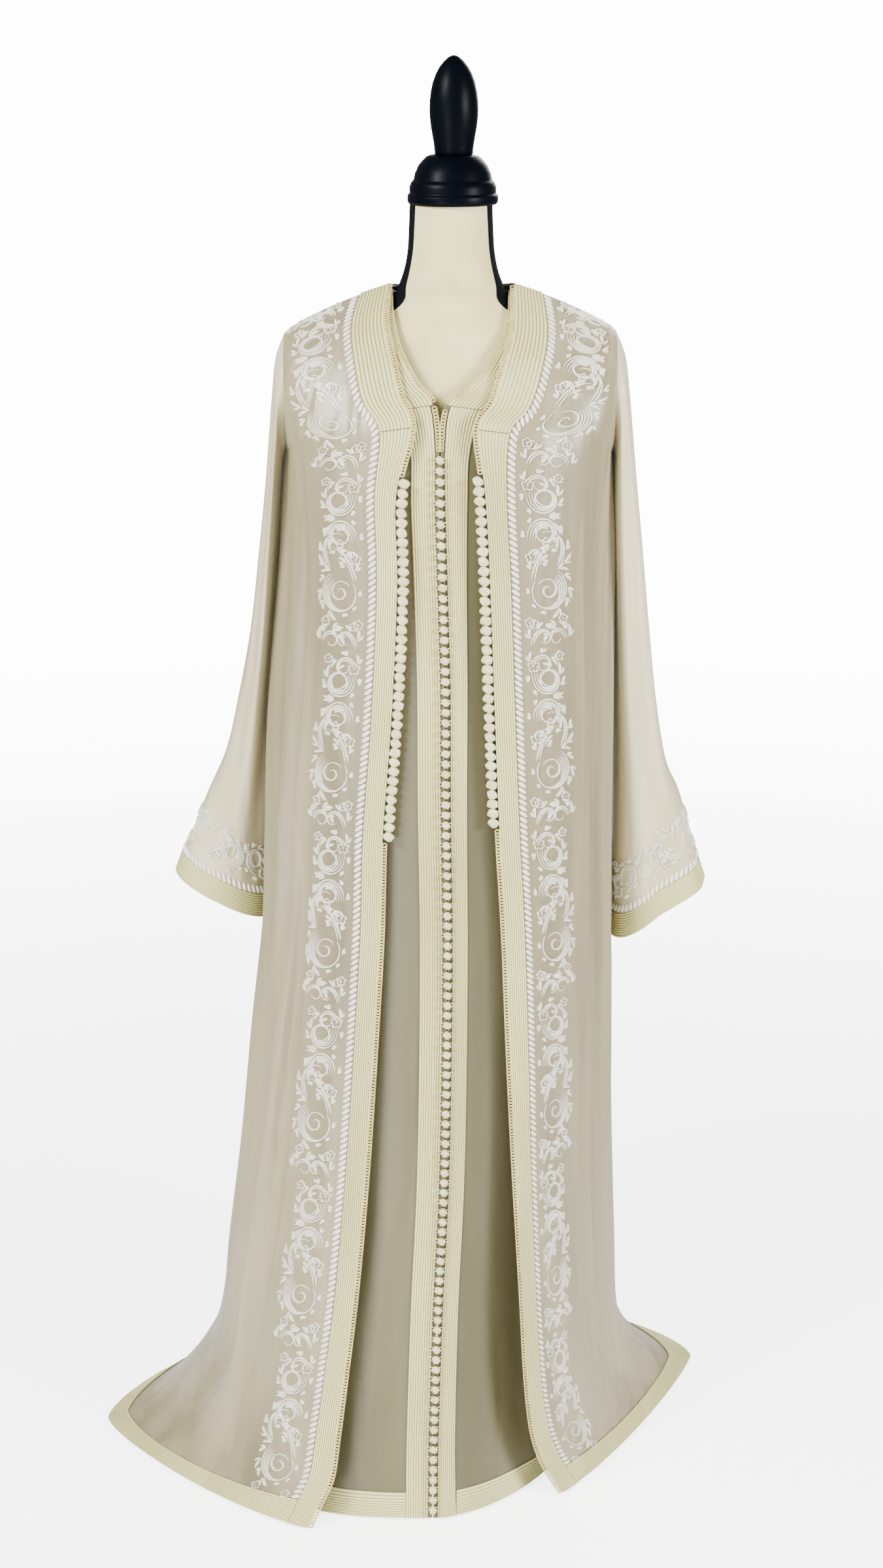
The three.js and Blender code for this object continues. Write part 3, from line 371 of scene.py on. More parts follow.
def sectionLines(edge, side, square, folds, at, top=None, topShare=None):
    a = np.linspace(0, math.pi / 2, cut["sectionSteps"])[None, :]
    power = (2 / square)[:, None]
    across = np.abs(np.sin(a)) ** power
    deep = np.abs(np.cos(a)) ** power
    climb = (across + 1 - deep) / 2
    x = edge[:, :1] + (side[:, :1] - edge[:, :1]) * across
    y = side[:, 1:2] + (edge[:, 1:2] - side[:, 1:2]) * deep
    z = edge[:, 2:3] + (side[:, 2:3] - edge[:, 2:3]) * climb
    lines = np.stack([x, y, z], axis=2)
    if top is not None:
        late = 1 + cut["edgeHold"] * np.linspace(0, 1, cut["sectionSteps"])[None, :] ** 6
        lines = lines + (top[None] - lines) * (topShare[:, None] ** late)[..., None]
    flat = lengthsAlong(lines)
    tangent = np.gradient(lines, axis=1)
    out = unit(np.stack([tangent[..., 1], -tangent[..., 0], np.zeros_like(flat)], axis=2))
    inward = (out * lines).sum(axis=2) < 0
    out[inward] *= -1
    lift = foldOffset(folds, flat / flat[:, -1:], at[:, None])
    return lines + out * lift[..., None]


# Soft creases that the satin keeps, too shallow for the frame
creases = {"count": 14, "deepest": 4.2, "narrow": 0.025, "wide": 0.06}


def creasesFor(firstPlace, rows):
    made = []
    for _ in range(creases["count"]):
        low = dice.uniform(0.4, rows * 0.55)
        deep = dice.uniform(0.5, 1) * creases["deepest"] * dice.choice([-1, 1])
        wide = dice.uniform(creases["narrow"], creases["wide"])
        place = dice.uniform(firstPlace, 0.93)
        high = min(low + dice.uniform(3, 7), rows - 0.2)
        made.append([place, wide, deep, low, high, dice.uniform(-0.03, 0.03)])
    return made


def outwardOf(points, ring=False):
    if ring:
        wrapped = np.concatenate([points[:, -2:-1], points, points[:, 1:2]], axis=1)
        across = np.gradient(wrapped, axis=1)[:, 1:-1]
    else:
        across = np.gradient(points, axis=1)
    normals = unit(np.cross(across, np.gradient(points, axis=0)))
    middle = points.mean(axis=1, keepdims=True) if ring else points * [0, 0, 1]
    if (normals * (points - middle)).sum() < 0:
        normals = -normals
    return normals


def panelFrom(points, at, ring=False):
    return {
        "points": points * mm,
        "normals": outwardOf(points, ring),
        "at": at,
        "up": distances(points[:, 0]),
        "across": lengthsAlong(points)[:, -1],
    }


# Rows of points are spaced evenly up the open edge
def evenRows(rows, columns):
    fine = np.linspace(0, len(rows) - 1, 600)
    up = distances(readTable(rows, fine)[:, columns])
    count = int(up[-1] / cut["rowStep"]) + 1
    return np.interp(np.linspace(0, up[-1], count), up, fine)


def frontPanel(rows, hole, folds, columns):
    at = evenRows(rows, slice(0, 3))
    table = readTable(rows, at)
    lines = sectionLines(table[:, :3], sideOf(rows, hole, -1, at), table[:, 7], folds, at)
    return panelFrom(respace(lines, columns), at)


def shoulderLine(neckMiddle, shoulder, neckShare):
    t = np.linspace(0, 1, cut["sectionSteps"])
    lengths = distances(shoulder)
    far = lengths[-1] * (t - neckShare) / (1 - neckShare)
    along = pointsAt(far, lengths, shoulder)
    a = np.clip(t / neckShare, 0, 1) * math.pi / 2
    side = shoulder[0]
    x = neckMiddle[0] + (side[0] - neckMiddle[0]) * np.sin(a)
    y = side[1] + (neckMiddle[1] - side[1]) * np.cos(a)
    z = neckMiddle[2] + (side[2] - neckMiddle[2]) * np.sin(a)
    return np.where((t > neckShare)[:, None], along, np.stack([x, y, z], axis=1))


def backHalf(back, front, hole, squareColumn, neckShare, folds, at, columns):
    last = len(back) - 1
    edge = readTable(front, last)[:, :3]
    armholeTop = armholePoint(hole, 0, -1)[None]
    end = np.array([float(last)])
    shoulder = sectionLines(edge, armholeTop, readTable(front, last)[:, 7], [], end)[0]
    shoulder[:, 1] += 2 * cut["seamGap"]
    top = shoulderLine(readTable(back, last)[0, :3], shoulder, neckShare)
    lean = np.clip((at - last + cut["shoulderRows"]) / cut["shoulderRows"], 0, 1)
    lean = (lean * lean * (3 - 2 * lean)) ** 1.6
    table = readTable(back, at)
    side = sideOf(front, hole, 1, at)
    lines = sectionLines(table[:, :3], side, table[:, squareColumn], folds, at, top, lean)
    return respace(lines, columns)


def backPanel(back, left, right, holes, neckShare, folds, columns):
    at = evenRows(back, slice(0, 3))
    leftHalf = backHalf(back, left, holes["left"], 3, neckShare, folds, at, columns)
    rightHalf = backHalf(back, right, holes["right"], 4, neckShare, folds, at, columns)
    return panelFrom(np.concatenate([leftHalf[:, :0:-1], rightHalf], axis=1), at)


def sleevePanel(rows, folds, hole):
    at = np.linspace(0, len(rows) - 1, cut["sleeveSteps"])
    table = readTable(rows, at)
    inner = np.stack([table[:, 0], table[:, 0] * 0, table[:, 1]], axis=1)
    outer = np.stack([table[:, 2], table[:, 2] * 0, table[:, 3]], axis=1)
    turn = np.linspace(0, 360, cut["sleeveAround"] + 1)[None, :]
    a = np.radians(turn)
    deep = table[:, 4:5]
    pull = 1 + foldOffset(folds, turn + 0 * deep, at[:, None]) / deep
    hang = table[:, 6:7] * 2 * np.maximum(np.sin(a), 0) * np.maximum(-np.cos(a), 0)
    centre = (inner + outer) / 2
    reach = (outer - inner) / 2
    points = centre[:, None] + reach[:, None] * (pull * np.cos(a))[..., None]
    points[..., 1] += table[:, 5:6] - deep * pull * np.sin(a)
    points[..., 2] -= hang
    seam = armholePoint(hole, turn[0], -1)
    seam[:, 0] += np.sign(seam[:, 0]) * cut["seamGap"]
    share = np.clip(at, 0, 1)[:, None, None]
    points = np.where(share < 1, seam[None] * (1 - share) + points * share, points)
    return panelFrom(points, at, ring=True)


# A point and its outward direction at a table row and a distance from the open edge, in millimetres
def onPanel(panel, at, away):
    rows, columns = panel["points"].shape[:2]
    r = np.interp(at, panel["at"], np.arange(rows))
    whole = np.interp(at, panel["at"], panel["across"])
    c = np.clip(away / whole, 0, 1) * (columns - 1)
    i = np.clip(np.floor(r).astype(int), 0, rows - 2)
    j = np.clip(np.floor(c).astype(int), 0, columns - 2)
    u, v = (r - i)[..., None], (c - j)[..., None]
    found = []
    for values in (panel["points"], panel["normals"]):
        low = values[i, j] * (1 - v) + values[i, j + 1] * v
        high = values[i + 1, j] * (1 - v) + values[i + 1, j + 1] * v
        found.append(low * (1 - u) + high * u)
    return found


# Making meshes
def activate(piece):
    bpy.ops.object.select_all(action="DESELECT")
    piece.select_set(True)
    bpy.context.view_layer.objects.active = piece


def applyModifier(piece, kind, **settings):
    activate(piece)
    modifier = piece.modifiers.new(kind.title(), kind)
    for key, value in settings.items():
        setattr(modifier, key, value)
    bpy.ops.object.modifier_apply(modifier=modifier.name)


def editAll():
    bpy.ops.object.mode_set(mode="EDIT")
    bpy.ops.mesh.select_all(action="SELECT")


def setMap(mesh, layer, uv):
    corners = np.empty(len(mesh.loops), np.int32)
    mesh.loops.foreach_get("vertex_index", corners)
    layer.data.foreach_set("uv", uv.reshape(-1, 2)[corners].astype(np.float32).ravel())


def gridMesh(name, points, outward, uv, ring):
    rows, columns = points.shape[:2]
    bpy.ops.object.select_all(action="DESELECT")
    bpy.ops.mesh.primitive_grid_add(x_subdivisions=columns - 1, y_subdivisions=rows - 1, size=1)
    piece = bpy.context.object
    piece.name = name
    mesh = piece.data
    mesh.vertices.foreach_set("co", points.astype(np.float32).ravel())
    setMap(mesh, mesh.uv_layers.active, uv)
    facing = np.cross(np.gradient(points, axis=1), np.gradient(points, axis=0))
    if (facing * outward).sum() < 0:
        mesh.flip_normals()
    mesh.update()
    if ring:
        editAll()
        bpy.ops.mesh.remove_doubles(threshold=1e-5)
        bpy.ops.object.mode_set(mode="OBJECT")
    return piece


def clothMesh(name, points, outward, thick, uv, ring=False):
    cloth = gridMesh(name, points, outward, uv, ring)
    applyModifier(cloth, "SOLIDIFY", thickness=thick, offset=-1)
    bpy.ops.object.shade_smooth_by_angle(angle=math.radians(50))
    return cloth


# A piece is called after the node it stands for: robe_neck_band_left becomes robeNeckBand_left
def called(node):
    words = node.split("_")
    hand = "_" + words.pop() if len(words) > 2 else ""
    return words[0] + "".join(word.title() for word in words[1:]) + hand


def finishPiece(piece, material, slotName, *nodes):
    piece.data.materials.clear()
    piece.data.materials.append(material)
    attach(piece, "root")
    if nodes:
        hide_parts(*nodes)
    return piece


def panelCloth(node, panel, look, ring=False):
    garment = node.split("_")[0]
    away = panel["across"][:, None] * np.linspace(0, 1, panel["points"].shape[1])[None, :] * mm
    uv = np.stack([away, np.broadcast_to(panel["up"][:, None] * mm, away.shape)], axis=2)
    cloth = clothMesh(called(node), panel["points"], panel["normals"], cut[f"{garment}Cloth"] * mm, uv, ring)
    return finishPiece(cloth, looks[look], f"{garment}_satin", node)


# A strip sewn on a panel, with ribs along it. The second axis of at and away runs across the strip.
braid = {"ribs": 9, "hemRibs": 10, "pointsPerRib": 4, "ribShare": 0.55, "lift": 0.2, "step": 9.0,
         "wall": 0.9, "hemGap": 0.4, "buttonRoom": 5.0}


def bandStrip(panel, at, away, node, ribs, ring=False):
    across = np.linspace(0, 1, at.shape[1])[None, :]
    points, normals = onPanel(panel, at, away)
    rib = np.abs(np.sin(math.pi * ribs * across)) ** 0.7
    high = braid["lift"] + cut["bandThick"] * (1 - braid["ribShare"] * (1 - rib))
    points = points + normals * (high * mm)[..., None]
    along = distances(points[:, 0])
    # The map counts one for each rib, and a quarter more reaches its groove, where the painted groove shade
    # falls
    ribPlace = np.broadcast_to(across * ribs + 0.25, at.shape)
    uv = np.stack([ribPlace, np.broadcast_to(along[:, None], at.shape)], axis=2)
    strip = clothMesh(called(node), points, normals, cut["bandThick"] * braid["wall"] * mm, uv, ring)
    return finishPiece(strip, looks["braid"], "braid", node)


def acrossStrip(ribs):
    return np.linspace(0, 1, ribs * braid["pointsPerRib"] + 1)[None, :]


def upBand(panel, rows, low, high, start, node):
    long = int(np.interp(high, panel["at"], panel["up"]) - np.interp(low, panel["at"], panel["up"]))
    at = np.linspace(low, high, max(long // int(braid["step"]), 8))[:, None]
    wide = readTable(rows, at[:, 0])[:, 8:9]
    u = acrossStrip(braid["ribs"])
    return bandStrip(panel, at + 0 * u, start + (wide - start) * u, node, braid["ribs"])


def hemBand(panel, low, high, start, node, ring=False):
    whole = float(np.interp(low, panel["at"], panel["across"]))
    share = np.linspace(0, 1, max(int(whole / braid["step"]), 8))[:, None]
    u = acrossStrip(braid["hemRibs"])
    at = low + (high - low) * u + 0 * share
    across = np.interp(at, panel["at"], panel["across"])
    return bandStrip(panel, at, start + (across - start) * share, node, braid["hemRibs"], ring)


def pieceFrom(name, points, faces):
    mesh = bpy.data.meshes.new(name)
    mesh.from_pydata(points.tolist(), [], faces)
    mesh.update()
    piece = bpy.data.objects.new(name, mesh)
    bpy.context.scene.collection.objects.link(piece)
    activate(piece)
    return piece


# Many copies of one small model, in one mesh. Each place has a centre and three directions.
def copiesOf(name, model, centres, across, along, outward, scale=1.0):
    mesh = model.data
    shape = np.empty(len(mesh.vertices) * 3)
    mesh.vertices.foreach_get("co", shape)
    shape = shape.reshape(-1, 3) * scale
    faces = [list(face.vertices) for face in mesh.polygons]
    turn = np.stack([across, along, outward], axis=1)
    points = centres[:, None] + np.einsum("vk,nkc->nvc", shape, turn)
    step = len(shape)
    every = [[v + n * step for v in face] for n in range(len(centres)) for face in faces]
    piece = pieceFrom(name, points.reshape(-1, 3), every)
    bpy.ops.object.shade_smooth()
    return piece


def pathFrames(points, outward, pitch):
    lengths = distances(points)
    stops = np.arange(pitch / 2, lengths[-1], pitch)
    centre = pointsAt(stops, lengths, points)
    ahead = pointsAt(stops + pitch / 4, lengths, points)
    along = unit(ahead - pointsAt(stops - pitch / 4, lengths, points))
    across = unit(np.cross(along, pointsAt(stops, lengths, outward)))
    return centre, across, along, np.cross(across, along)


def turned(across, along, angle):
    c, s = math.cos(angle), math.sin(angle)
    return across * c + along * s, along * c - across * s


# Colours and finishes
def newGroup(name, inputs, outputs):
    group = bpy.data.node_groups.new(name, "ShaderNodeTree")
    for label, kind, value in inputs:
        socket = group.interface.new_socket(name=label, in_out="INPUT", socket_type=kind)
        if value is not None:
            socket.default_value = value
    for label, kind in outputs:
        group.interface.new_socket(name=label, in_out="OUTPUT", socket_type=kind)
    start = group.nodes.new("NodeGroupInput")
    end = group.nodes.new("NodeGroupOutput")
    return group, start, end


# A new node. Each input gets a value, or another node's output as (node, output).
def addNode(tree, kind, inputs=None, **settings):
    node = tree.nodes.new("ShaderNode" + kind)
    for key, value in settings.items():
        setattr(node, key, value)
    for key, value in (inputs or {}).items():
        if isinstance(value, tuple) and isinstance(value[0], bpy.types.Node):
            link(tree, *value, node, key)
        else:
            node.inputs[key].default_value = value
    return node


def link(tree, source, output, target, socket):
    tree.links.new(source.outputs[output], target.inputs[socket])


# Threads lie in two directions on the cloth's own map, in threads for each metre. Groove is the mask for
# painted shade in the grooves between the threads or ribs across.
def makeThreadGroup():
    group, start, end = newGroup(
        "clothThreads",
        [("Across", "NodeSocketFloat", 1500.0), ("Along", "NodeSocketFloat", 1500.0)],
        [("Height", "NodeSocketFloat"), ("Groove", "NodeSocketFloat")],
    )
    where = addNode(group, "UVMap")
    parts = addNode(group, "SeparateXYZ", {"Vector": (where, "UV")})
    waves = []
    for axis, label in (("X", "Across"), ("Y", "Along")):
        times = addNode(group, "Math", {0: (parts, axis), 1: (start, label)}, operation="MULTIPLY")
        turn = addNode(group, "Math", {0: (times, 0), 1: 2 * math.pi}, operation="MULTIPLY")
        waves.append(addNode(group, "Math", {0: (turn, 0)}, operation="SINE"))
    total = addNode(group, "Math", {0: (waves[0], 0), 1: (waves[1], 0)}, operation="ADD")
    half = addNode(group, "Math", {0: (total, 0), 1: 0.25, 2: 0.5}, operation="MULTIPLY_ADD")
    link(group, half, 0, end, "Height")
    dip = {"Value": (waves[0], 0), "From Min": 0.1}
    grooveShade = addNode(group, "MapRange", dip, interpolation_type="SMOOTHSTEP")
    link(group, grooveShade, 0, end, "Groove")
    return group


# Slow changes of tone over a surface, and the low creases that a cloth keeps. Where Stretch is small, as on
# the satins, the light and dark tones run in long vertical streaks of painted sheen.
def makeToneSheenGroup():
    group, start, end = newGroup(
        "toneSheenAndCrease",
        [
            ("Light", "NodeSocketColor", (1, 1, 1, 1)),
            ("Dark", "NodeSocketColor", (0, 0, 0, 1)),
            ("Patch", "NodeSocketFloat", 6.0),
            ("Stretch", "NodeSocketFloat", 0.2),
            ("Crease", "NodeSocketFloat", 25.0),
        ],
        [("Color", "NodeSocketColor"), ("Height", "NodeSocketFloat")],
    )
    where = addNode(group, "TexCoord")
    scale = addNode(group, "CombineXYZ", {"X": 1.0, "Y": 1.0, "Z": (start, "Stretch")})
    spread = addNode(group, "VectorMath", {0: (where, "Object"), 1: (scale, 0)}, operation="MULTIPLY")
    patches = {"Vector": (spread, 0), "Scale": (start, "Patch"), "Detail": 3.0, "Roughness": 0.55}
    toneAndSheen = addNode(group, "TexNoise", patches)
    ramp = addNode(group, "MapRange", {"Value": (toneAndSheen, 0), "From Min": 0.3, "From Max": 0.7})
    mix = addNode(group, "Mix", data_type="RGBA")
    link(group, ramp, 0, mix, 0)
    link(group, start, "Light", mix, 6)
    link(group, start, "Dark", mix, 7)
    link(group, mix, 2, end, "Color")
    folds = {"Vector": (spread, 0), "Scale": (start, "Crease"), "Detail": 2.0, "Distortion": 0.6}
    crease = addNode(group, "TexNoise", folds)
    link(group, crease, 0, end, "Height")
    return group


threadGroup = makeThreadGroup()
toneSheenGroup = makeToneSheenGroup()


# Both kinds of finish: a tone and a roughness that change slowly, and soft creases or grain. On the satins
# the tone is painted sheen.
def toneSheenMaterial(name, toneSheenInputs, roughness, bump, shine):
    material = bpy.data.materials.new(name)
    material.use_nodes = True
    tree = material.node_tree
    shader = tree.nodes["Principled BSDF"]
    for label, value in shine.items():
        shader.inputs[label].default_value = value
    toneAndSheen = addNode(tree, "Group", toneSheenInputs, node_tree=toneSheenGroup)
    height = (toneAndSheen, "Height")
    link(tree, toneAndSheen, "Color", shader, "Base Color")
    rough = addNode(tree, "MapRange", {"Value": height, "To Min": roughness[0], "To Max": roughness[1]})
    link(tree, rough, 0, shader, "Roughness")
    soft = addNode(tree, "Bump", {"Height": height, "Strength": bump[0], "Distance": bump[1]})
    link(tree, soft, "Normal", shader, "Normal")
    return material, toneAndSheen, soft


def fabric(name, light, dark, roughness, patch, stretch, crease, creaseDeep, threads, threadDeep, sheen,
           grooveShade=None):
    toneSheenInputs = {"Light": (*light, 1), "Dark": (*dark, 1), "Patch": patch, "Stretch": stretch, "Crease": crease}
    shine = {"Sheen Weight": sheen, "Sheen Roughness": 0.4}
    ends = (roughness - 0.06, roughness + 0.08)
    material, toneAndSheen, soft = toneSheenMaterial(name, toneSheenInputs, ends, (0.6, creaseDeep), shine)
    tree = material.node_tree
    shader = tree.nodes["Principled BSDF"]
    weave = addNode(tree, "Group", {"Across": threads[0], "Along": threads[1]}, node_tree=threadGroup)
    # Painted shade: a braid's grooves get a darker colour
    if grooveShade:
        both = {0: (weave, "Groove"), 6: (toneAndSheen, "Color"), 7: (*grooveShade, 1)}
        link(tree, addNode(tree, "Mix", both, data_type="RGBA"), 2, shader, "Base Color")
    relief = {"Height": (weave, "Height"), "Normal": (soft, "Normal")}
    fine = addNode(tree, "Bump", {**relief, "Strength": 0.5, "Distance": threadDeep})
    link(tree, fine, "Normal", shader, "Normal")
    return material


# Each finish: light and dark tone (on the satins, streaks of painted sheen), roughness, size and stretch of
# the tone's patches, creases and their depth, threads for each metre across and along, their depth, sheen,
# and the painted shade in a braid's grooves
finishes = {
    # Painted sheen: each satin's dark tone runs in long vertical streaks beside its light tone
    "robeSatin": ((0.40, 0.346, 0.208), (0.2, 0.169, 0.09), 0.27, 11, 0.09, 18, 0.014,
                  (2400, 1900), 0.00006, 0.04),
    # Painted light: the sleeves' satin is the robe's satin with its tones about twice as light
    "sleeveSatinPaintedLight": ((0.80, 0.715, 0.45), (0.47, 0.41, 0.235), 0.27, 11, 0.1, 18, 0.012,
                    (2400, 1900), 0.00006, 0.04),
    "dressSatin": ((0.155, 0.137, 0.066), (0.09, 0.079, 0.036), 0.32, 9, 0.1, 14, 0.009,
                   (2400, 1900), 0.00006, 0.03),
    # braid: its last colour is painted shade for the grooves between the ribs
    "braid": ((0.82, 0.785, 0.345), (0.60, 0.565, 0.235), 0.36, 9, 0.3, 300, 0.0003,
              (1, 900), 0.0003, 0.04, (0.30, 0.27, 0.10)),
    "ropeThread": ((0.93, 0.90, 0.79), (0.80, 0.76, 0.62), 0.26, 30, 1, 700, 0.0002, (1, 1), 0.00001, 0.04),
    "knotThread": ((0.86, 0.81, 0.50), (0.66, 0.60, 0.33), 0.42, 60, 1, 900, 0.0005, (1, 1), 0.00001, 0.04),
    "flossThread": ((0.88, 0.85, 0.74), (0.74, 0.705, 0.58), 0.24, 30, 1, 500, 0.0001,
                    (0, 1100), 0.0002, 0.04),
    "linen": ((0.86, 0.775, 0.39), (0.70, 0.62, 0.28), 0.85, 14, 1, 300, 0.0003, (900, 900), 0.0003, 0.0),
    "cordThread": ((0.78, 0.66, 0.27), (0.54, 0.44, 0.16), 0.4, 60, 1, 900, 0.0004, (1, 1), 0.00001, 0.04),
}
looks = {name: fabric(name, *values) for name, values in finishes.items()}
print("materials made")

# The garments' panels
hands = ("left", "right")
edgeTables = {
    "robe": {"left": robeLeft, "right": robeRight},
    "dress": {"left": dressLeft, "right": dressRight},
}
leftFolds, rightFolds = robeLeftFolds + creasesFor(0.45, 17), robeRightFolds + creasesFor(0.5, 17)
backFolds = robeBackFolds + creasesFor(0.05, 16)
robe = {
    "left": frontPanel(robeLeft, robeHoles["left"], leftFolds, cut["robeColumns"]),
    "right": frontPanel(robeRight, robeHoles["right"], rightFolds, cut["robeColumns"]),
    "back": backPanel(robeBack, robeLeft, robeRight, robeHoles, cut["robeNeckShare"], backFolds,
                      cut["robeBackColumns"]),
}
dress = {
    "left": frontPanel(dressLeft, dressHoles["left"], dressFolds, cut["dressColumns"]),
    "right": frontPanel(dressRight, dressHoles["right"], dressFolds, cut["dressColumns"]),
    "back": backPanel(dressBack, dressLeft, dressRight, dressHoles, cut["dressNeckShare"], dressFolds,
                      cut["dressBackColumns"]),
}
sleeves = {hand: sleevePanel(sleeveRows[hand], sleeveFolds[hand], robeHoles[hand]) for hand in hands}
robeTop, robeCorner, dressTop, dressCorner = 17, 13, 16, 12
panels = {}
for hand in hands:
    panels[f"robe_front_{hand}"] = (robe[hand], "robeSatin")
    panels[f"dress_front_{hand}"] = (dress[hand], "dressSatin")
    # The sleeves take the lighter copy of the robe's satin, which is painted light
    panels[f"robe_sleeve_{hand}"] = (sleeves[hand], "sleeveSatinPaintedLight")
panels["robe_back"] = (robe["back"], "robeSatin")
panels["dress_back"] = (dress["back"], "dressSatin")
cloths = {node: panelCloth(node, *panel, ring="sleeve" in node) for node, panel in panels.items()}
print("cloth made")


# Ribbed bands along the edges, hems, necks and cuffs
def edgeBands(garment, hand, panel, corner, top, frontStart, neckStart):
    table = edgeTables[garment][hand]
    return [
        upBand(panel, table, 0, corner - 0.02, frontStart, f"{garment}_front_band_{hand}"),
        upBand(panel, table, corner, top, neckStart, f"{garment}_neck_band_{hand}"),
        hemBand(panel, 0, 1, table[0][8] + braid["hemGap"], f"{garment}_hem_band_{hand}"),
    ]


# The band behind the neck lies between the top two rows of the back
def backBands(garment, panel):
    half = float(panel["across"][-1]) / 2 * cut[f"{garment}NeckShare"]
    along = np.linspace(-1, 1, 40)[:, None]
    at = panel["at"][-1] - (1 - acrossStrip(braid["ribs"])) + 0 * along
    across = np.interp(at, panel["at"], panel["across"])
    return [
        hemBand(panel, 0, 1, 0, f"{garment}_hem_band_back"),
        bandStrip(panel, at, across / 2 + half * along, f"{garment}_neck_band_back", braid["ribs"]),
    ]


sewn = {}
for hand in hands:
    ends = (dressCorner, dressTop, braid["buttonRoom"], 1)
    sewn[f"robe_front_{hand}"] = edgeBands("robe", hand, robe[hand], robeCorner, robeTop, 0, 0)
    sewn[f"dress_front_{hand}"] = edgeBands("dress", hand, dress[hand], *ends)
    sewn[f"robe_sleeve_{hand}"] = [hemBand(sleeves[hand], 11, 12, 0, f"robe_cuff_band_{hand}", ring=True)]
sewn["robe_back"] = backBands("robe", robe["back"])
sewn["dress_back"] = backBands("dress", dress["back"])
print("bands made")

# The corded line: slanted satin bars, one thread pad after another
rope = {"pitch": 7.0, "long": 12.2, "wide": 4.9, "high": 3.4, "slant": 38, "lift": 0.6, "gap": 0.5,
        "cuffRow": 10.8}
bpy.ops.object.select_all(action="DESELECT")
bpy.ops.mesh.primitive_uv_sphere_add(segments=8, ring_count=6, radius=0.5)
satinBar = bpy.context.object
editAll()
bpy.ops.transform.rotate(value=math.pi / 2, orient_axis="Y", center_override=(0, 0, 0))
barSize = [rope[key] * mm for key in ("long", "wide", "high")]
bpy.ops.transform.resize(value=barSize, center_override=(0, 0, 0))
bpy.ops.object.mode_set(mode="OBJECT")


def ropeRow(panel, at, away, slantSign, node):
    path, outward = onPanel(panel, at, away)
    centre, across, along, up = pathFrames(path, outward, rope["pitch"] * mm)
    across, along = turned(across, along, slantSign * math.radians(rope["slant"]))
    row = copiesOf(called(node), satinBar, centre + up * rope["lift"] * mm, across, along, up)
    return finishPiece(row, looks["ropeThread"], "rope_stitch", node)


for hand, slantSign in (("left", 1), ("right", -1)):
    at = np.linspace(1, robeTop, 700)
    away = readTable(edgeTables["robe"][hand], at)[:, 8] + cut["ropeWide"] / 2 + rope["gap"]
    sewn[f"robe_front_{hand}"].append(ropeRow(robe[hand], at, away, slantSign, f"robe_rope_{hand}"))
    sleeve = sleeves[hand]
    at = np.full(300, rope["cuffRow"])
    away = np.linspace(0, 1, 300) * np.interp(at, sleeve["at"], sleeve["across"])
    sewn[f"robe_sleeve_{hand}"].append(ropeRow(sleeve, at, away, slantSign, f"robe_cuff_rope_{hand}"))
bpy.data.objects.remove(satinBar)
print("corded lines made")

# Knots and buttons: three thread wraps round a ball
knots = {"wraps": 3, "wrapMajor": 0.33, "wrapMinor": 0.17, "robeWide": 14.4, "robeTall": 12.4,
         "buttonWide": 10.8, "buttonTall": 10.2, "beside": 6.35, "behind": 0.4, "buttonGap": 0.35,
         "buttonsTop": 1266, "buttonsLow": 9, "buttonPitch": 12}


def knotModel():
    bpy.ops.object.select_all(action="DESELECT")
    bpy.ops.mesh.primitive_ico_sphere_add(subdivisions=2, radius=0.4)
    parts = [bpy.context.object]
    for n in range(knots["wraps"]):
        angle = math.pi * n / knots["wraps"]
        bpy.ops.mesh.primitive_torus_add(
            major_segments=12, minor_segments=5,
            major_radius=knots["wrapMajor"], minor_radius=knots["wrapMinor"],
            rotation=(math.pi / 2 + 0.5 * math.cos(2 * angle), 0.3, angle),
        )
        parts.append(bpy.context.object)
    for part in parts:
        part.select_set(True)
    bpy.context.view_layer.objects.active = parts[0]
    bpy.ops.object.join()
    bpy.ops.object.transform_apply(location=True, rotation=True, scale=True)
    return bpy.context.object


threadKnot = knotModel()


def edgePoints(panel, heights):
    edge = panel["points"][:, 0]
    up = np.maximum.accumulate(edge[:, 2])
    return pointsAt(heights, up, edge)


def evenHeights(top, bottom, pitch):
    count = round((top - bottom) / pitch)
    return (top - (np.arange(count) + 0.5) * (top - bottom) / count) * mm


def knotRow(points, kind, node):
    count = len(points)
    tilt = dice.uniform(-0.5, 0.5, count)
    c, s = np.cos(tilt)[:, None], np.sin(tilt)[:, None]
    x, y, z = np.eye(3)
    across, forward = c * x + s * y, c * y - s * x
    scale = np.array([knots[f"{kind}Wide"], knots[f"{kind}Wide"], knots[f"{kind}Tall"]]) * mm
    row = copiesOf(called(node), threadKnot, points, across, forward, np.tile(z, (count, 1)), scale)
    return finishPiece(row, looks["knotThread"], "knots", node)


# Each run of knots is its top, its bottom, its pitch and the side that the knots stand on
knotRuns = {"left": (1240, 822, 10.9, 1), "right": (1243, 838, 11.2, -1)}
for hand, (top, bottom, pitch, side) in knotRuns.items():
    points = edgePoints(robe[hand], evenHeights(top, bottom, pitch))
    points += np.array([side * knots["beside"], knots["behind"], 0]) * mm
    sewn[f"robe_front_{hand}"].append(knotRow(points, "robe", f"robe_knots_{hand}"))
heights = evenHeights(knots["buttonsTop"], knots["buttonsLow"], knots["buttonPitch"])
middle = (edgePoints(dress["left"], heights) + edgePoints(dress["right"], heights)) / 2
middle[:, 1] -= (knots["buttonWide"] / 2 + knots["buttonGap"]) * mm
sewn["dress_front_left"].append(knotRow(middle, "button", "dress_buttons"))
bpy.data.objects.remove(threadKnot)

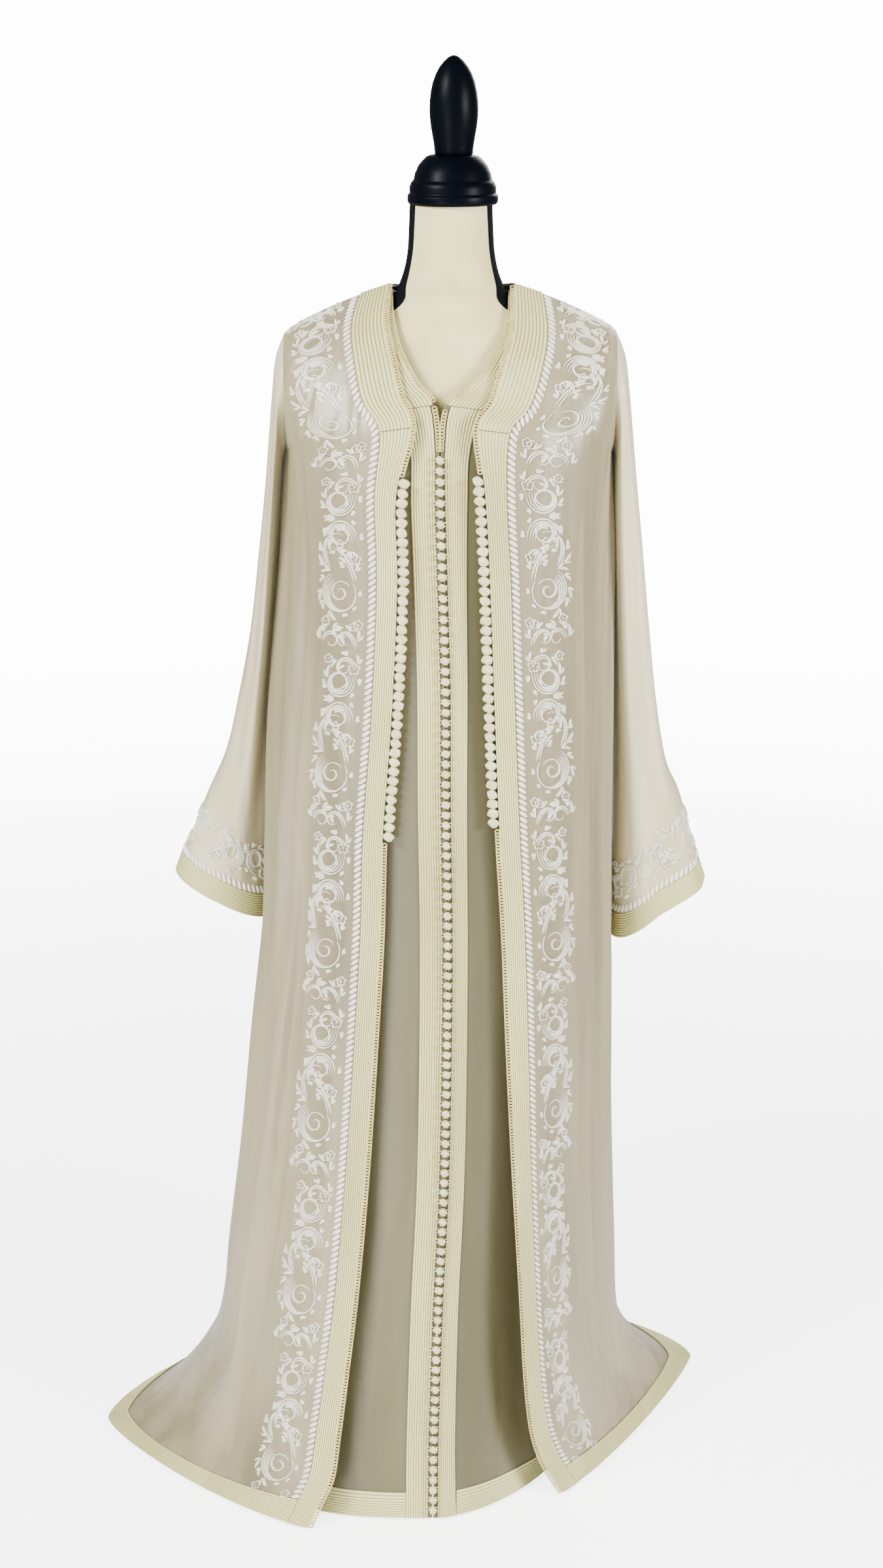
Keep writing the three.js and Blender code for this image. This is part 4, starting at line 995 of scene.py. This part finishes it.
# Button loops: a small thread ring at each side of each button
loop = {"major": 2.1, "minor": 0.7, "aside": 5.6, "behind": 3.4}
bpy.ops.object.select_all(action="DESELECT")
bpy.ops.mesh.primitive_torus_add(
    major_segments=10, minor_segments=4, major_radius=loop["major"] * mm, minor_radius=loop["minor"] * mm
)
threadRing = bpy.context.object
for side, hand in ((-1, "left"), (1, "right")):
    centre = middle + np.array([side * loop["aside"], loop["behind"], 0]) * mm
    ways = [np.tile(way, (len(middle), 1)) for way in ([1.0, 0, 0], [0, 0, 1.0], [0, -1.0, 0])]
    loops = copiesOf(f"buttonLoops_{hand}", threadRing, centre, *ways)
    finishPiece(loops, looks["knotThread"], "knots")
    sewn[f"dress_front_{hand}"].append(loops)

# Picot cords: a chain of small rings along the open edges and the necks
picot = {"pitch": 3.8, "edge": 2.4, "neck": 1.6, "slit": -0.6, "lift": 1.3, "size": 1.2, "slitTop": 1270}


def picotCord(name, panel, low, high, beyond, *nodes):
    at = np.linspace(low, high, 500)
    edge, outward = onPanel(panel, at, np.zeros(500))
    away = unit(edge - onPanel(panel, at, np.full(500, 6.0))[0])
    path = edge + away * beyond * mm + outward * picot["lift"] * mm
    centre, across, along, up = pathFrames(path, outward, picot["pitch"] * mm)
    cord = copiesOf(name, threadRing, centre, across, along, up, picot["size"])
    return finishPiece(cord, looks["cordThread"], "knots", *nodes)


def rowAtHeight(panel, height):
    up = np.maximum.accumulate(panel["points"][:, 0, 2])
    return float(np.interp(height * mm, up, panel["at"]))


for hand, (top, bottom, _, _) in knotRuns.items():
    panel, under = robe[hand], dress[hand]
    low, high = rowAtHeight(panel, bottom - 2), rowAtHeight(panel, top + 3)
    slitStart = rowAtHeight(under, picot["slitTop"])
    sewn[f"robe_front_{hand}"] += [
        picotCord(f"edgeCord_{hand}", panel, 0.05, low, picot["edge"], f"robe_cord_{hand}"),
        picotCord(f"neckCord_{hand}", panel, high, robeTop - 0.05, picot["edge"]),
    ]
    sewn[f"dress_front_{hand}"] += [
        picotCord(f"dressNeckCord_{hand}", under, dressCorner + 0.1, dressTop - 0.05, picot["neck"]),
        picotCord(f"slitCord_{hand}", under, slitStart, dressCorner - 0.1, picot["slit"]),
    ]
bpy.data.objects.remove(threadRing)
print("knots, buttons and cords made")

# Raised embroidery, drawn in millimetres: x away from the corded line, y up along the edge
# Each stroke is its line, its greatest width, its height and where along it the width is greatest.
def arc(cx, cy, r0, r1, startDeg, endDeg, count):
    a = np.radians(np.linspace(startDeg, endDeg, count))
    r = np.linspace(r0, r1, count)
    return np.stack([cx + r * np.cos(a), cy + r * np.sin(a)], axis=1)


# A line that starts at an angle and turns more and more until it has turned by the whole amount
def curl(x, y, angle, long, turn, power, count):
    a = np.radians(angle + turn * np.linspace(0, 1, count) ** power)
    moves = np.stack([np.cos(a), np.sin(a)], axis=1) * long / (count - 1)
    return np.array([x, y]) + np.concatenate([[[0, 0]], np.cumsum(moves[:-1], axis=0)])


def beside(line, away):
    ahead = unit(np.gradient(line, axis=0))
    return line + np.stack([-ahead[:, 1], ahead[:, 0]], axis=1) * np.reshape(away, (-1, 1))


# Ribs run beside the first part of a scroll and close in on it
def scroll(line, ribs, side, gap=3.2, reach=0.8):
    made = [(line, 2.6, 2.3, 0.4)]
    for n in range(1, ribs):
        stop = int(len(line) * (reach - 0.1 * n))
        close = np.minimum(1, (1 - np.linspace(0, 1, stop) ** 3) * 1.1)
        made.append((beside(line[:stop], side * gap * n * close), 2.2, 2.0, 0.4))
    return made


# Pointed leaves leave a line at the given shares of its length, on one side of it
def leavesOn(line, shares, side, long, lean=48, off=2.6):
    made = []
    for n, share in enumerate(shares):
        k = min(int(share * (len(line) - 1)), len(line) - 2)
        way = math.degrees(math.atan2(*(line[k + 1] - line[k])[::-1]))
        foot = beside(line, side * off)[k]
        size = long * (1 - 0.22 * (n % 2))
        made.append((curl(*foot, way + side * lean, 1.15 * size, -side * 50, 1, 7), 4.1, 2.3, 0.6))
        made.append((curl(*foot, way + side * (lean + 46), 0.85 * size, -side * 60, 1, 6), 3.4, 2.1, 0.58))
    return made


def rosette(cx, cy, long):
    made = []
    for n in range(5):
        t = math.radians(18 + 72 * n)
        petal = arc(cx + 0.62 * long * math.cos(t), cy + 0.62 * long * math.sin(t), 0.36 * long, 0.32 * long,
                    math.degrees(t) - 130, math.degrees(t) + 130, 8)
        made.append((petal, 1.9, 2.4, 0.5))
    made.append((arc(cx, cy, 0.8, 0.8, 0, 300, 6), 1.8, 3.0, 0.5))
    return made


def mirrored(line, y):
    return line * np.array([1, -1]) + np.array([0, 2 * y])


def scrollMotif():
    crescent = arc(33, 44, 25, 19, 60, -215, 34)
    heart = arc(33, 44, 14, 2.5, 150, -330, 30)
    bowl = curl(10, 158, -86, 142, 620, 1.35, 46)
    arch = mirrored(bowl, bowl[:, 1].min() - 3.5)
    rise = curl(13, 57, 78, 52, -75, 1.6, 14)
    tall = curl(49, 70, 65, 62, 150, 1.5, 18)
    hook = curl(8, 166, 62, 66, -400, 1.5, 28)
    crown = curl(10, 190, 75, 56, -330, 1.7, 24)
    crook = curl(58, 196, 118, 52, 330, 1.5, 24)
    inner = curl(22, 72, 55, 44, 330, 1.5, 22)
    strokes = scroll(inner, 2, 1, 2.8) + leavesOn(inner, (0.1, 0.35), -1, 8)
    strokes += scroll(crescent, 4, -1) + scroll(heart, 1, 1)
    strokes += scroll(bowl, 4, 1, 3.2, 0.75) + scroll(arch, 4, -1, 3.2, 0.75)
    strokes += scroll(rise, 2, -1) + scroll(tall, 2, 1) + scroll(hook, 2, -1, 2.8)
    strokes += scroll(crown, 2, -1, 2.8) + scroll(crook, 2, 1, 2.8)
    strokes += leavesOn(crescent, (0.0, 0.11, 0.22, 0.33, 0.44), 1, 13)
    strokes += leavesOn(crescent, (0.58, 0.72, 0.86), 1, 6)
    strokes += leavesOn(bowl, (0.3, 0.38, 0.46, 0.54), -1, 13) + leavesOn(bowl, (0.03, 0.14), -1, 7)
    strokes += leavesOn(arch, (0.3, 0.38, 0.46, 0.54), 1, 13) + leavesOn(arch, (0.03, 0.14), 1, 7)
    strokes += leavesOn(rise, (0.3, 0.6), 1, 9) + leavesOn(rise, (0.55, 0.95), -1, 9)
    strokes += leavesOn(tall, (0.15, 0.4, 0.65, 0.9), -1, 13) + leavesOn(tall, (0.6,), 1, 9)
    strokes += leavesOn(hook, (0.1, 0.3, 0.5), 1, 10) + leavesOn(crown, (0.15, 0.35, 0.55), 1, 11)
    strokes += leavesOn(crook, (0.0, 0.2, 0.4, 0.6), -1, 13)
    flowers = ((13, 82, 6.5), (12, 166, 7), (46, 176, 5.5), (32, 100, 5), (9, 8, 5.5), (52, 10, 6),
               (14, 214, 5.5))
    for flower in flowers:
        strokes += rosette(*flower)
    return strokes


embroidery = {"unit": 208.0, "raise": 1.1, "sides": [-1, -0.45, 0.45, 1], "rise": [0.0, 0.95, 0.95, 0.0],
              "shoulder": 1.14, "shoulderFrom": 0.78, "shoulderTo": 0.92, "gap": 1.5, "first": 30,
              "spare": 45, "cuffRow": 10.6, "cuffGap": 2, "cuffUnits": 2}


def strokeShape(place, line, wide, high, fullest):
    t = np.linspace(0, 1, len(line))
    swell = np.where(t < fullest, t / fullest, (1 - t) / (1 - fullest))
    swell = np.sin(np.clip(swell, 0, 1) * math.pi / 2) ** 0.7
    half = 0.5 * wide * (0.12 + 0.88 * swell)
    rings = []
    for side, rise in zip(embroidery["sides"], embroidery["rise"]):
        points, outward = place(beside(line, half * side))
        lift = high * embroidery["raise"] * rise * (0.45 + 0.55 * swell) - 0.15
        rings.append(points + outward * lift[:, None] * mm)
    return np.stack(rings, axis=1)


def embroider(name, place, motifs, panelName):
    points, faces, lengths = [], [], []
    start = 0
    for line, wide, high, fullest in motifs:
        shape = strokeShape(place, line, wide, high, fullest)
        count, sides = shape.shape[:2]
        run = distances(line) * mm
        lengths.append(np.stack([np.tile(np.arange(sides) * mm, count), np.repeat(run, sides)], axis=1))
        points.append(shape.reshape(-1, 3))
        for i in range(count - 1):
            for k in range(sides):
                a, b = start + i * sides + k, start + i * sides + (k + 1) % sides
                faces.append([a, b, b + sides, a + sides])
        faces.append([start + k for k in range(sides - 1, -1, -1)])
        faces.append([start + (count - 1) * sides + k for k in range(sides)])
        start += count * sides
    piece = pieceFrom(name, np.concatenate(points), faces)
    setMap(piece.data, piece.data.uv_layers.new(name="stitch"), np.concatenate(lengths))
    editAll()
    bpy.ops.mesh.normals_make_consistent(inside=False)
    bpy.ops.object.mode_set(mode="OBJECT")
    bpy.ops.object.shade_smooth_by_angle(angle=math.radians(60))
    finishPiece(piece, looks["flossThread"], "rope_stitch")
    sewn[panelName].append(piece)


# The motif a whole number of times along a length. Every second one may be turned over.
def repeated(start, whole, count, turnOver):
    made = []
    scale = whole / count / embroidery["unit"]
    for n in range(count):
        for line, wide, high, fullest in scrollMotif():
            if turnOver and n % 2:
                line = mirrored(line, embroidery["unit"] / 2)
            line = line * scale + np.array([0, start + n * whole / count])
            made.append((line, wide * scale, high, fullest))
    return made


def frontPlace(hand):
    panel = robe[hand]
    shoulder = [embroidery["shoulderFrom"], embroidery["shoulderTo"]]

    def place(flat):
        at = np.interp(flat[:, 1], panel["up"], panel["at"])
        start = readTable(edgeTables["robe"][hand], at)[:, 8] + cut["ropeWide"] + embroidery["gap"]
        wider = np.interp(flat[:, 1] / panel["up"][-1], shoulder, [1, embroidery["shoulder"]])
        return onPanel(panel, at, start + flat[:, 0] * wider)

    return place


# On a cuff the pattern runs round the sleeve, and its outer side points up the arm
def cuffPlace(hand):
    panel = sleeves[hand]
    low = float(np.interp(embroidery["cuffRow"], panel["at"], panel["up"])) - embroidery["cuffGap"]
    whole = float(np.interp(10, panel["at"], panel["across"]))

    def place(flat):
        at = np.interp(low - flat[:, 0], panel["up"], panel["at"])
        across = np.interp(at, panel["at"], panel["across"])
        return onPanel(panel, at, ((flat[:, 1] / whole) % 1) * across)

    return place, whole


for hand in hands:
    whole = float(robe[hand]["up"][-1]) - embroidery["spare"]
    strokes = repeated(embroidery["first"], whole, round(whole / embroidery["unit"]), False)
    embroider(f"frontEmbroidery_{hand}", frontPlace(hand), strokes, f"robe_front_{hand}")
    place, around = cuffPlace(hand)
    strokes = repeated(0, around, embroidery["cuffUnits"], True)
    embroider(f"cuffEmbroidery_{hand}", place, strokes, f"robe_sleeve_{hand}")
print("embroidery made")


# The dress form under the clothes
form = {"around": 80, "steps": 100, "girth": 0.12, "capLean": 5, "capFoot": 1540, "capTop": 54.9,
        "seamY": -0.024, "shine": 0.1, "jersey": (0.0012, 0.002, 0.0035)}


def formMesh():
    at = np.linspace(0, len(formSections) - 1, form["steps"])
    table = readTable(formSections, at)
    a = np.linspace(0, 2 * math.pi, form["around"] + 1)[None, :]
    power = (2 / table[:, 4])[:, None]
    x = table[:, 1:2] * np.sign(np.cos(a)) * np.abs(np.cos(a)) ** power
    deep = np.where(np.sin(a) < 0, table[:, 2:3], table[:, 3:4])
    y = deep * np.sign(np.sin(a)) * np.abs(np.sin(a)) ** power
    z = table[:, 0:1] + 0 * a
    lean = np.clip(at - (len(formSections) - 2), 0, 1)[:, None]
    z = z + lean * y * math.tan(math.radians(form["capLean"]))
    points = np.stack([x, y, z], axis=2) * mm
    flat = np.stack([np.broadcast_to(a * form["girth"], x.shape), z * mm], axis=2)
    body = gridMesh("formBody", points, outwardOf(points, ring=True), flat, ring=True)
    editAll()
    bpy.ops.mesh.fill_holes(sides=0)
    bpy.ops.object.mode_set(mode="OBJECT")
    bpy.ops.object.shade_smooth_by_angle(angle=math.radians(50))
    return body


# The form's front is linen. Black jersey covers its sides and back, behind a seam.
def jerseyBehind(tree, seamY):
    shader = tree.nodes["Principled BSDF"]
    shader.inputs["Specular IOR Level"].default_value = form["shine"]
    toneAndSheen = shader.inputs["Base Color"].links[0].from_socket
    where = addNode(tree, "TexCoord")
    parts = addNode(tree, "SeparateXYZ", {0: (where, "Object")})
    mask = addNode(tree, "MapRange", {"Value": (parts, "Y"), "From Min": seamY, "From Max": seamY + 0.0008})
    mix = addNode(tree, "Mix", {0: (mask, 0), 7: (*form["jersey"], 1)}, data_type="RGBA")
    tree.links.new(toneAndSheen, mix.inputs[6])
    link(tree, mix, 2, shader, "Base Color")


jerseyBehind(looks["linen"].node_tree, form["seamY"])
finishPiece(formMesh(), looks["linen"], "form_linen", "form_body")


# Turned pieces: a disc is extruded up step by step, and each step is scaled to the next radius
def turnedPiece(name, profile, sides, lean, at):
    bpy.ops.object.select_all(action="DESELECT")
    radius, bottom = profile[0]
    bpy.ops.mesh.primitive_circle_add(vertices=sides, radius=radius * mm, fill_type="NGON",
                                      location=(0, 0, bottom * mm))
    bpy.ops.object.transform_apply(location=True, rotation=True, scale=True)
    bpy.ops.object.mode_set(mode="EDIT")
    bpy.ops.mesh.select_all(action="SELECT")
    for lastStep, (nextRadius, high) in zip(profile, profile[1:]):
        bpy.ops.mesh.extrude_region_move(TRANSFORM_OT_translate={"value": (0, 0, (high - lastStep[1]) * mm)})
        ratio = nextRadius / lastStep[0]
        bpy.ops.transform.resize(value=(ratio, ratio, 1), center_override=(0, 0, high * mm))
    bpy.ops.mesh.select_all(action="SELECT")
    bpy.ops.mesh.normals_make_consistent(inside=False)
    bpy.ops.object.mode_set(mode="OBJECT")
    piece = bpy.context.object
    piece.name = name
    corner = math.radians(25)
    applyModifier(piece, "BEVEL", width=0.8 * mm, segments=2, limit_method="ANGLE", angle_limit=corner)
    piece.rotation_euler = (math.radians(lean), 0, 0)
    piece.location = [v * mm for v in at]
    activate(piece)
    bpy.ops.object.transform_apply(location=True, rotation=True, scale=True)
    bpy.ops.object.shade_smooth_by_angle(angle=math.radians(35))
    return piece


def blackFinish(name, colour, roughness, coat, grain):
    pale = [min(v * 1.7, 1) for v in colour]
    toneSheenInputs = {"Light": (*pale, 1), "Dark": (*colour, 1), "Patch": 30, "Stretch": 0.3, "Crease": grain}
    shine = {"Coat Weight": coat, "Coat Roughness": 0.2, "Specular IOR Level": 0.04}
    return toneSheenMaterial(name, toneSheenInputs, (roughness - 0.08, roughness + 0.1), (0.4, 0.0002), shine)[0]


lacquer = blackFinish("blackLacquer", (0.0006, 0.0012, 0.0024), 0.36, 0.0, 90)
steel = blackFinish("blackSteel", (0.008, 0.008, 0.009), 0.4, 0.2, 400)
capProfile = [(50, 0), (52, 3), (52, 10), (49.5, 12.5), (49.8, 19), (48, 24), (45, 27), (43.5, 34),
              (39.5, 43), (33, 50), (29.5, 53), (24, 54.5)]
knobProfile = [(21.8, 0), (22.2, 6), (23.2, 13), (24.8, 22), (26.2, 30), (27.2, 38), (27.8, 48), (27.4, 58),
               (26.2, 68), (23.6, 79), (20.4, 87), (16.4, 94), (11, 100.5), (6, 104.6), (2, 106.4)]
footProfile = [(147, 0), (150, 3), (150, 8), (147, 11), (90, 12.6), (34, 14), (30, 21), (27, 34), (24, 46)]
poleProfile = [(14, 46.3), (14, 739.7)]
leanBack = math.radians(form["capLean"])
capPlace = (2, 0, form["capFoot"])
knobPlace = (3, -form["capTop"] * math.sin(leanBack), form["capFoot"] + form["capTop"] * math.cos(leanBack))
turnedPieces = (
    (capProfile, 64, form["capLean"], capPlace, lacquer, "black_wood", "form_cap"),
    (knobProfile, 48, form["capLean"], knobPlace, lacquer, "black_wood", "form_knob"),
    (footProfile, 96, 0, (0, 0, 0), steel, "black_metal", "stand_foot"),
    (poleProfile, 32, 0, (0, 0, 0), steel, "black_metal", "stand_pole"),
)
for profile, sides, lean, place, finish, slotName, node in turnedPieces:
    finishPiece(turnedPiece(called(node), profile, sides, lean, place), finish, slotName, node)
print("form and stand made")

# Floor, light and camera
studio = {"floor": 16.0, "floorColour": (0.93, 0.93, 0.93), "world": 0.3, "backdrop": 14.0,
          "floorShare": 0.28, "glowFrom": 0.6, "glowTo": 6.0}


# The backdrop glows only for the camera, so it doesn't light the clothes
def glowForCamera(tree, least, shader, socket):
    seen = (addNode(tree, "LightPath"), "Is Camera Ray")
    strength = addNode(tree, "MapRange", {"Value": seen, "To Min": least, "To Max": studio["backdrop"]})
    link(tree, strength, 0, shader, socket)


bpy.ops.object.select_all(action="DESELECT")
bpy.ops.mesh.primitive_plane_add(size=studio["floor"], location=(0, 0, -0.0005))
floor = bpy.context.object
floor.name = "studioFloor"
paleFloor = bpy.data.materials.new("paleFloor")
paleFloor.use_nodes = True
tree = paleFloor.node_tree
shader = tree.nodes["Principled BSDF"]
shader.inputs["Base Color"].default_value = (*studio["floorColour"], 1)
shader.inputs["Roughness"].default_value = 0.9
far = addNode(tree, "VectorMath", {0: (addNode(tree, "TexCoord"), "Object")}, operation="LENGTH")
reach = {"From Min": studio["glowFrom"], "From Max": studio["glowTo"], "To Min": studio["floorShare"]}
glow = addNode(tree, "MapRange", {"Value": (far, "Value"), **reach}, interpolation_type="SMOOTHSTEP")
link(tree, glow, 0, shader, "Emission Color")
glowForCamera(tree, 0, shader, "Emission Strength")
floor.data.materials.append(paleFloor)

world = bpy.data.worlds.new("studioWorld")
bpy.context.scene.world = world
world.use_nodes = True
background = world.node_tree.nodes["Background"]
background.inputs["Color"].default_value = (1, 1, 1, 1)
glowForCamera(world.node_tree, studio["world"], background, "Strength")

# Each lamp is its place, the point it faces, its size and its power
lamps = {
    "keyLamp": ((-2.2, -2.0, 3.0), (0, 0, 0.9), 0.9, 250),
    "lowLamp": ((-1.6, -2.6, 0.7), (0, 0, 0.5), 0.9, 45),
    "sideLamp": ((2.3, -1.6, 1.7), (0.1, 0, 0.8), 0.7, 150),
    "backLamp": ((0.8, 2.6, 2.6), (0, 0, 1.1), 1.6, 70),
}
for name, (place, aim, size, power) in lamps.items():
    bpy.ops.object.light_add(type="AREA", location=place)
    lamp = bpy.context.object
    lamp.name = name
    lamp.data.size = size
    lamp.data.energy = power
    away = np.array(aim) - np.array(place)
    flat = math.hypot(away[0], away[1])
    lamp.rotation_euler = (math.atan2(flat, -away[2]), 0, math.atan2(away[1], away[0]) - math.pi / 2)

camera = {"place": (-0.011, -2.5, 1.5), "tilt": 75.5, "lens": 48.29}
bpy.ops.object.camera_add(location=camera["place"], rotation=(math.radians(camera["tilt"]), 0, 0))
bpy.context.object.data.lens = camera["lens"]
bpy.context.scene.camera = bpy.context.object
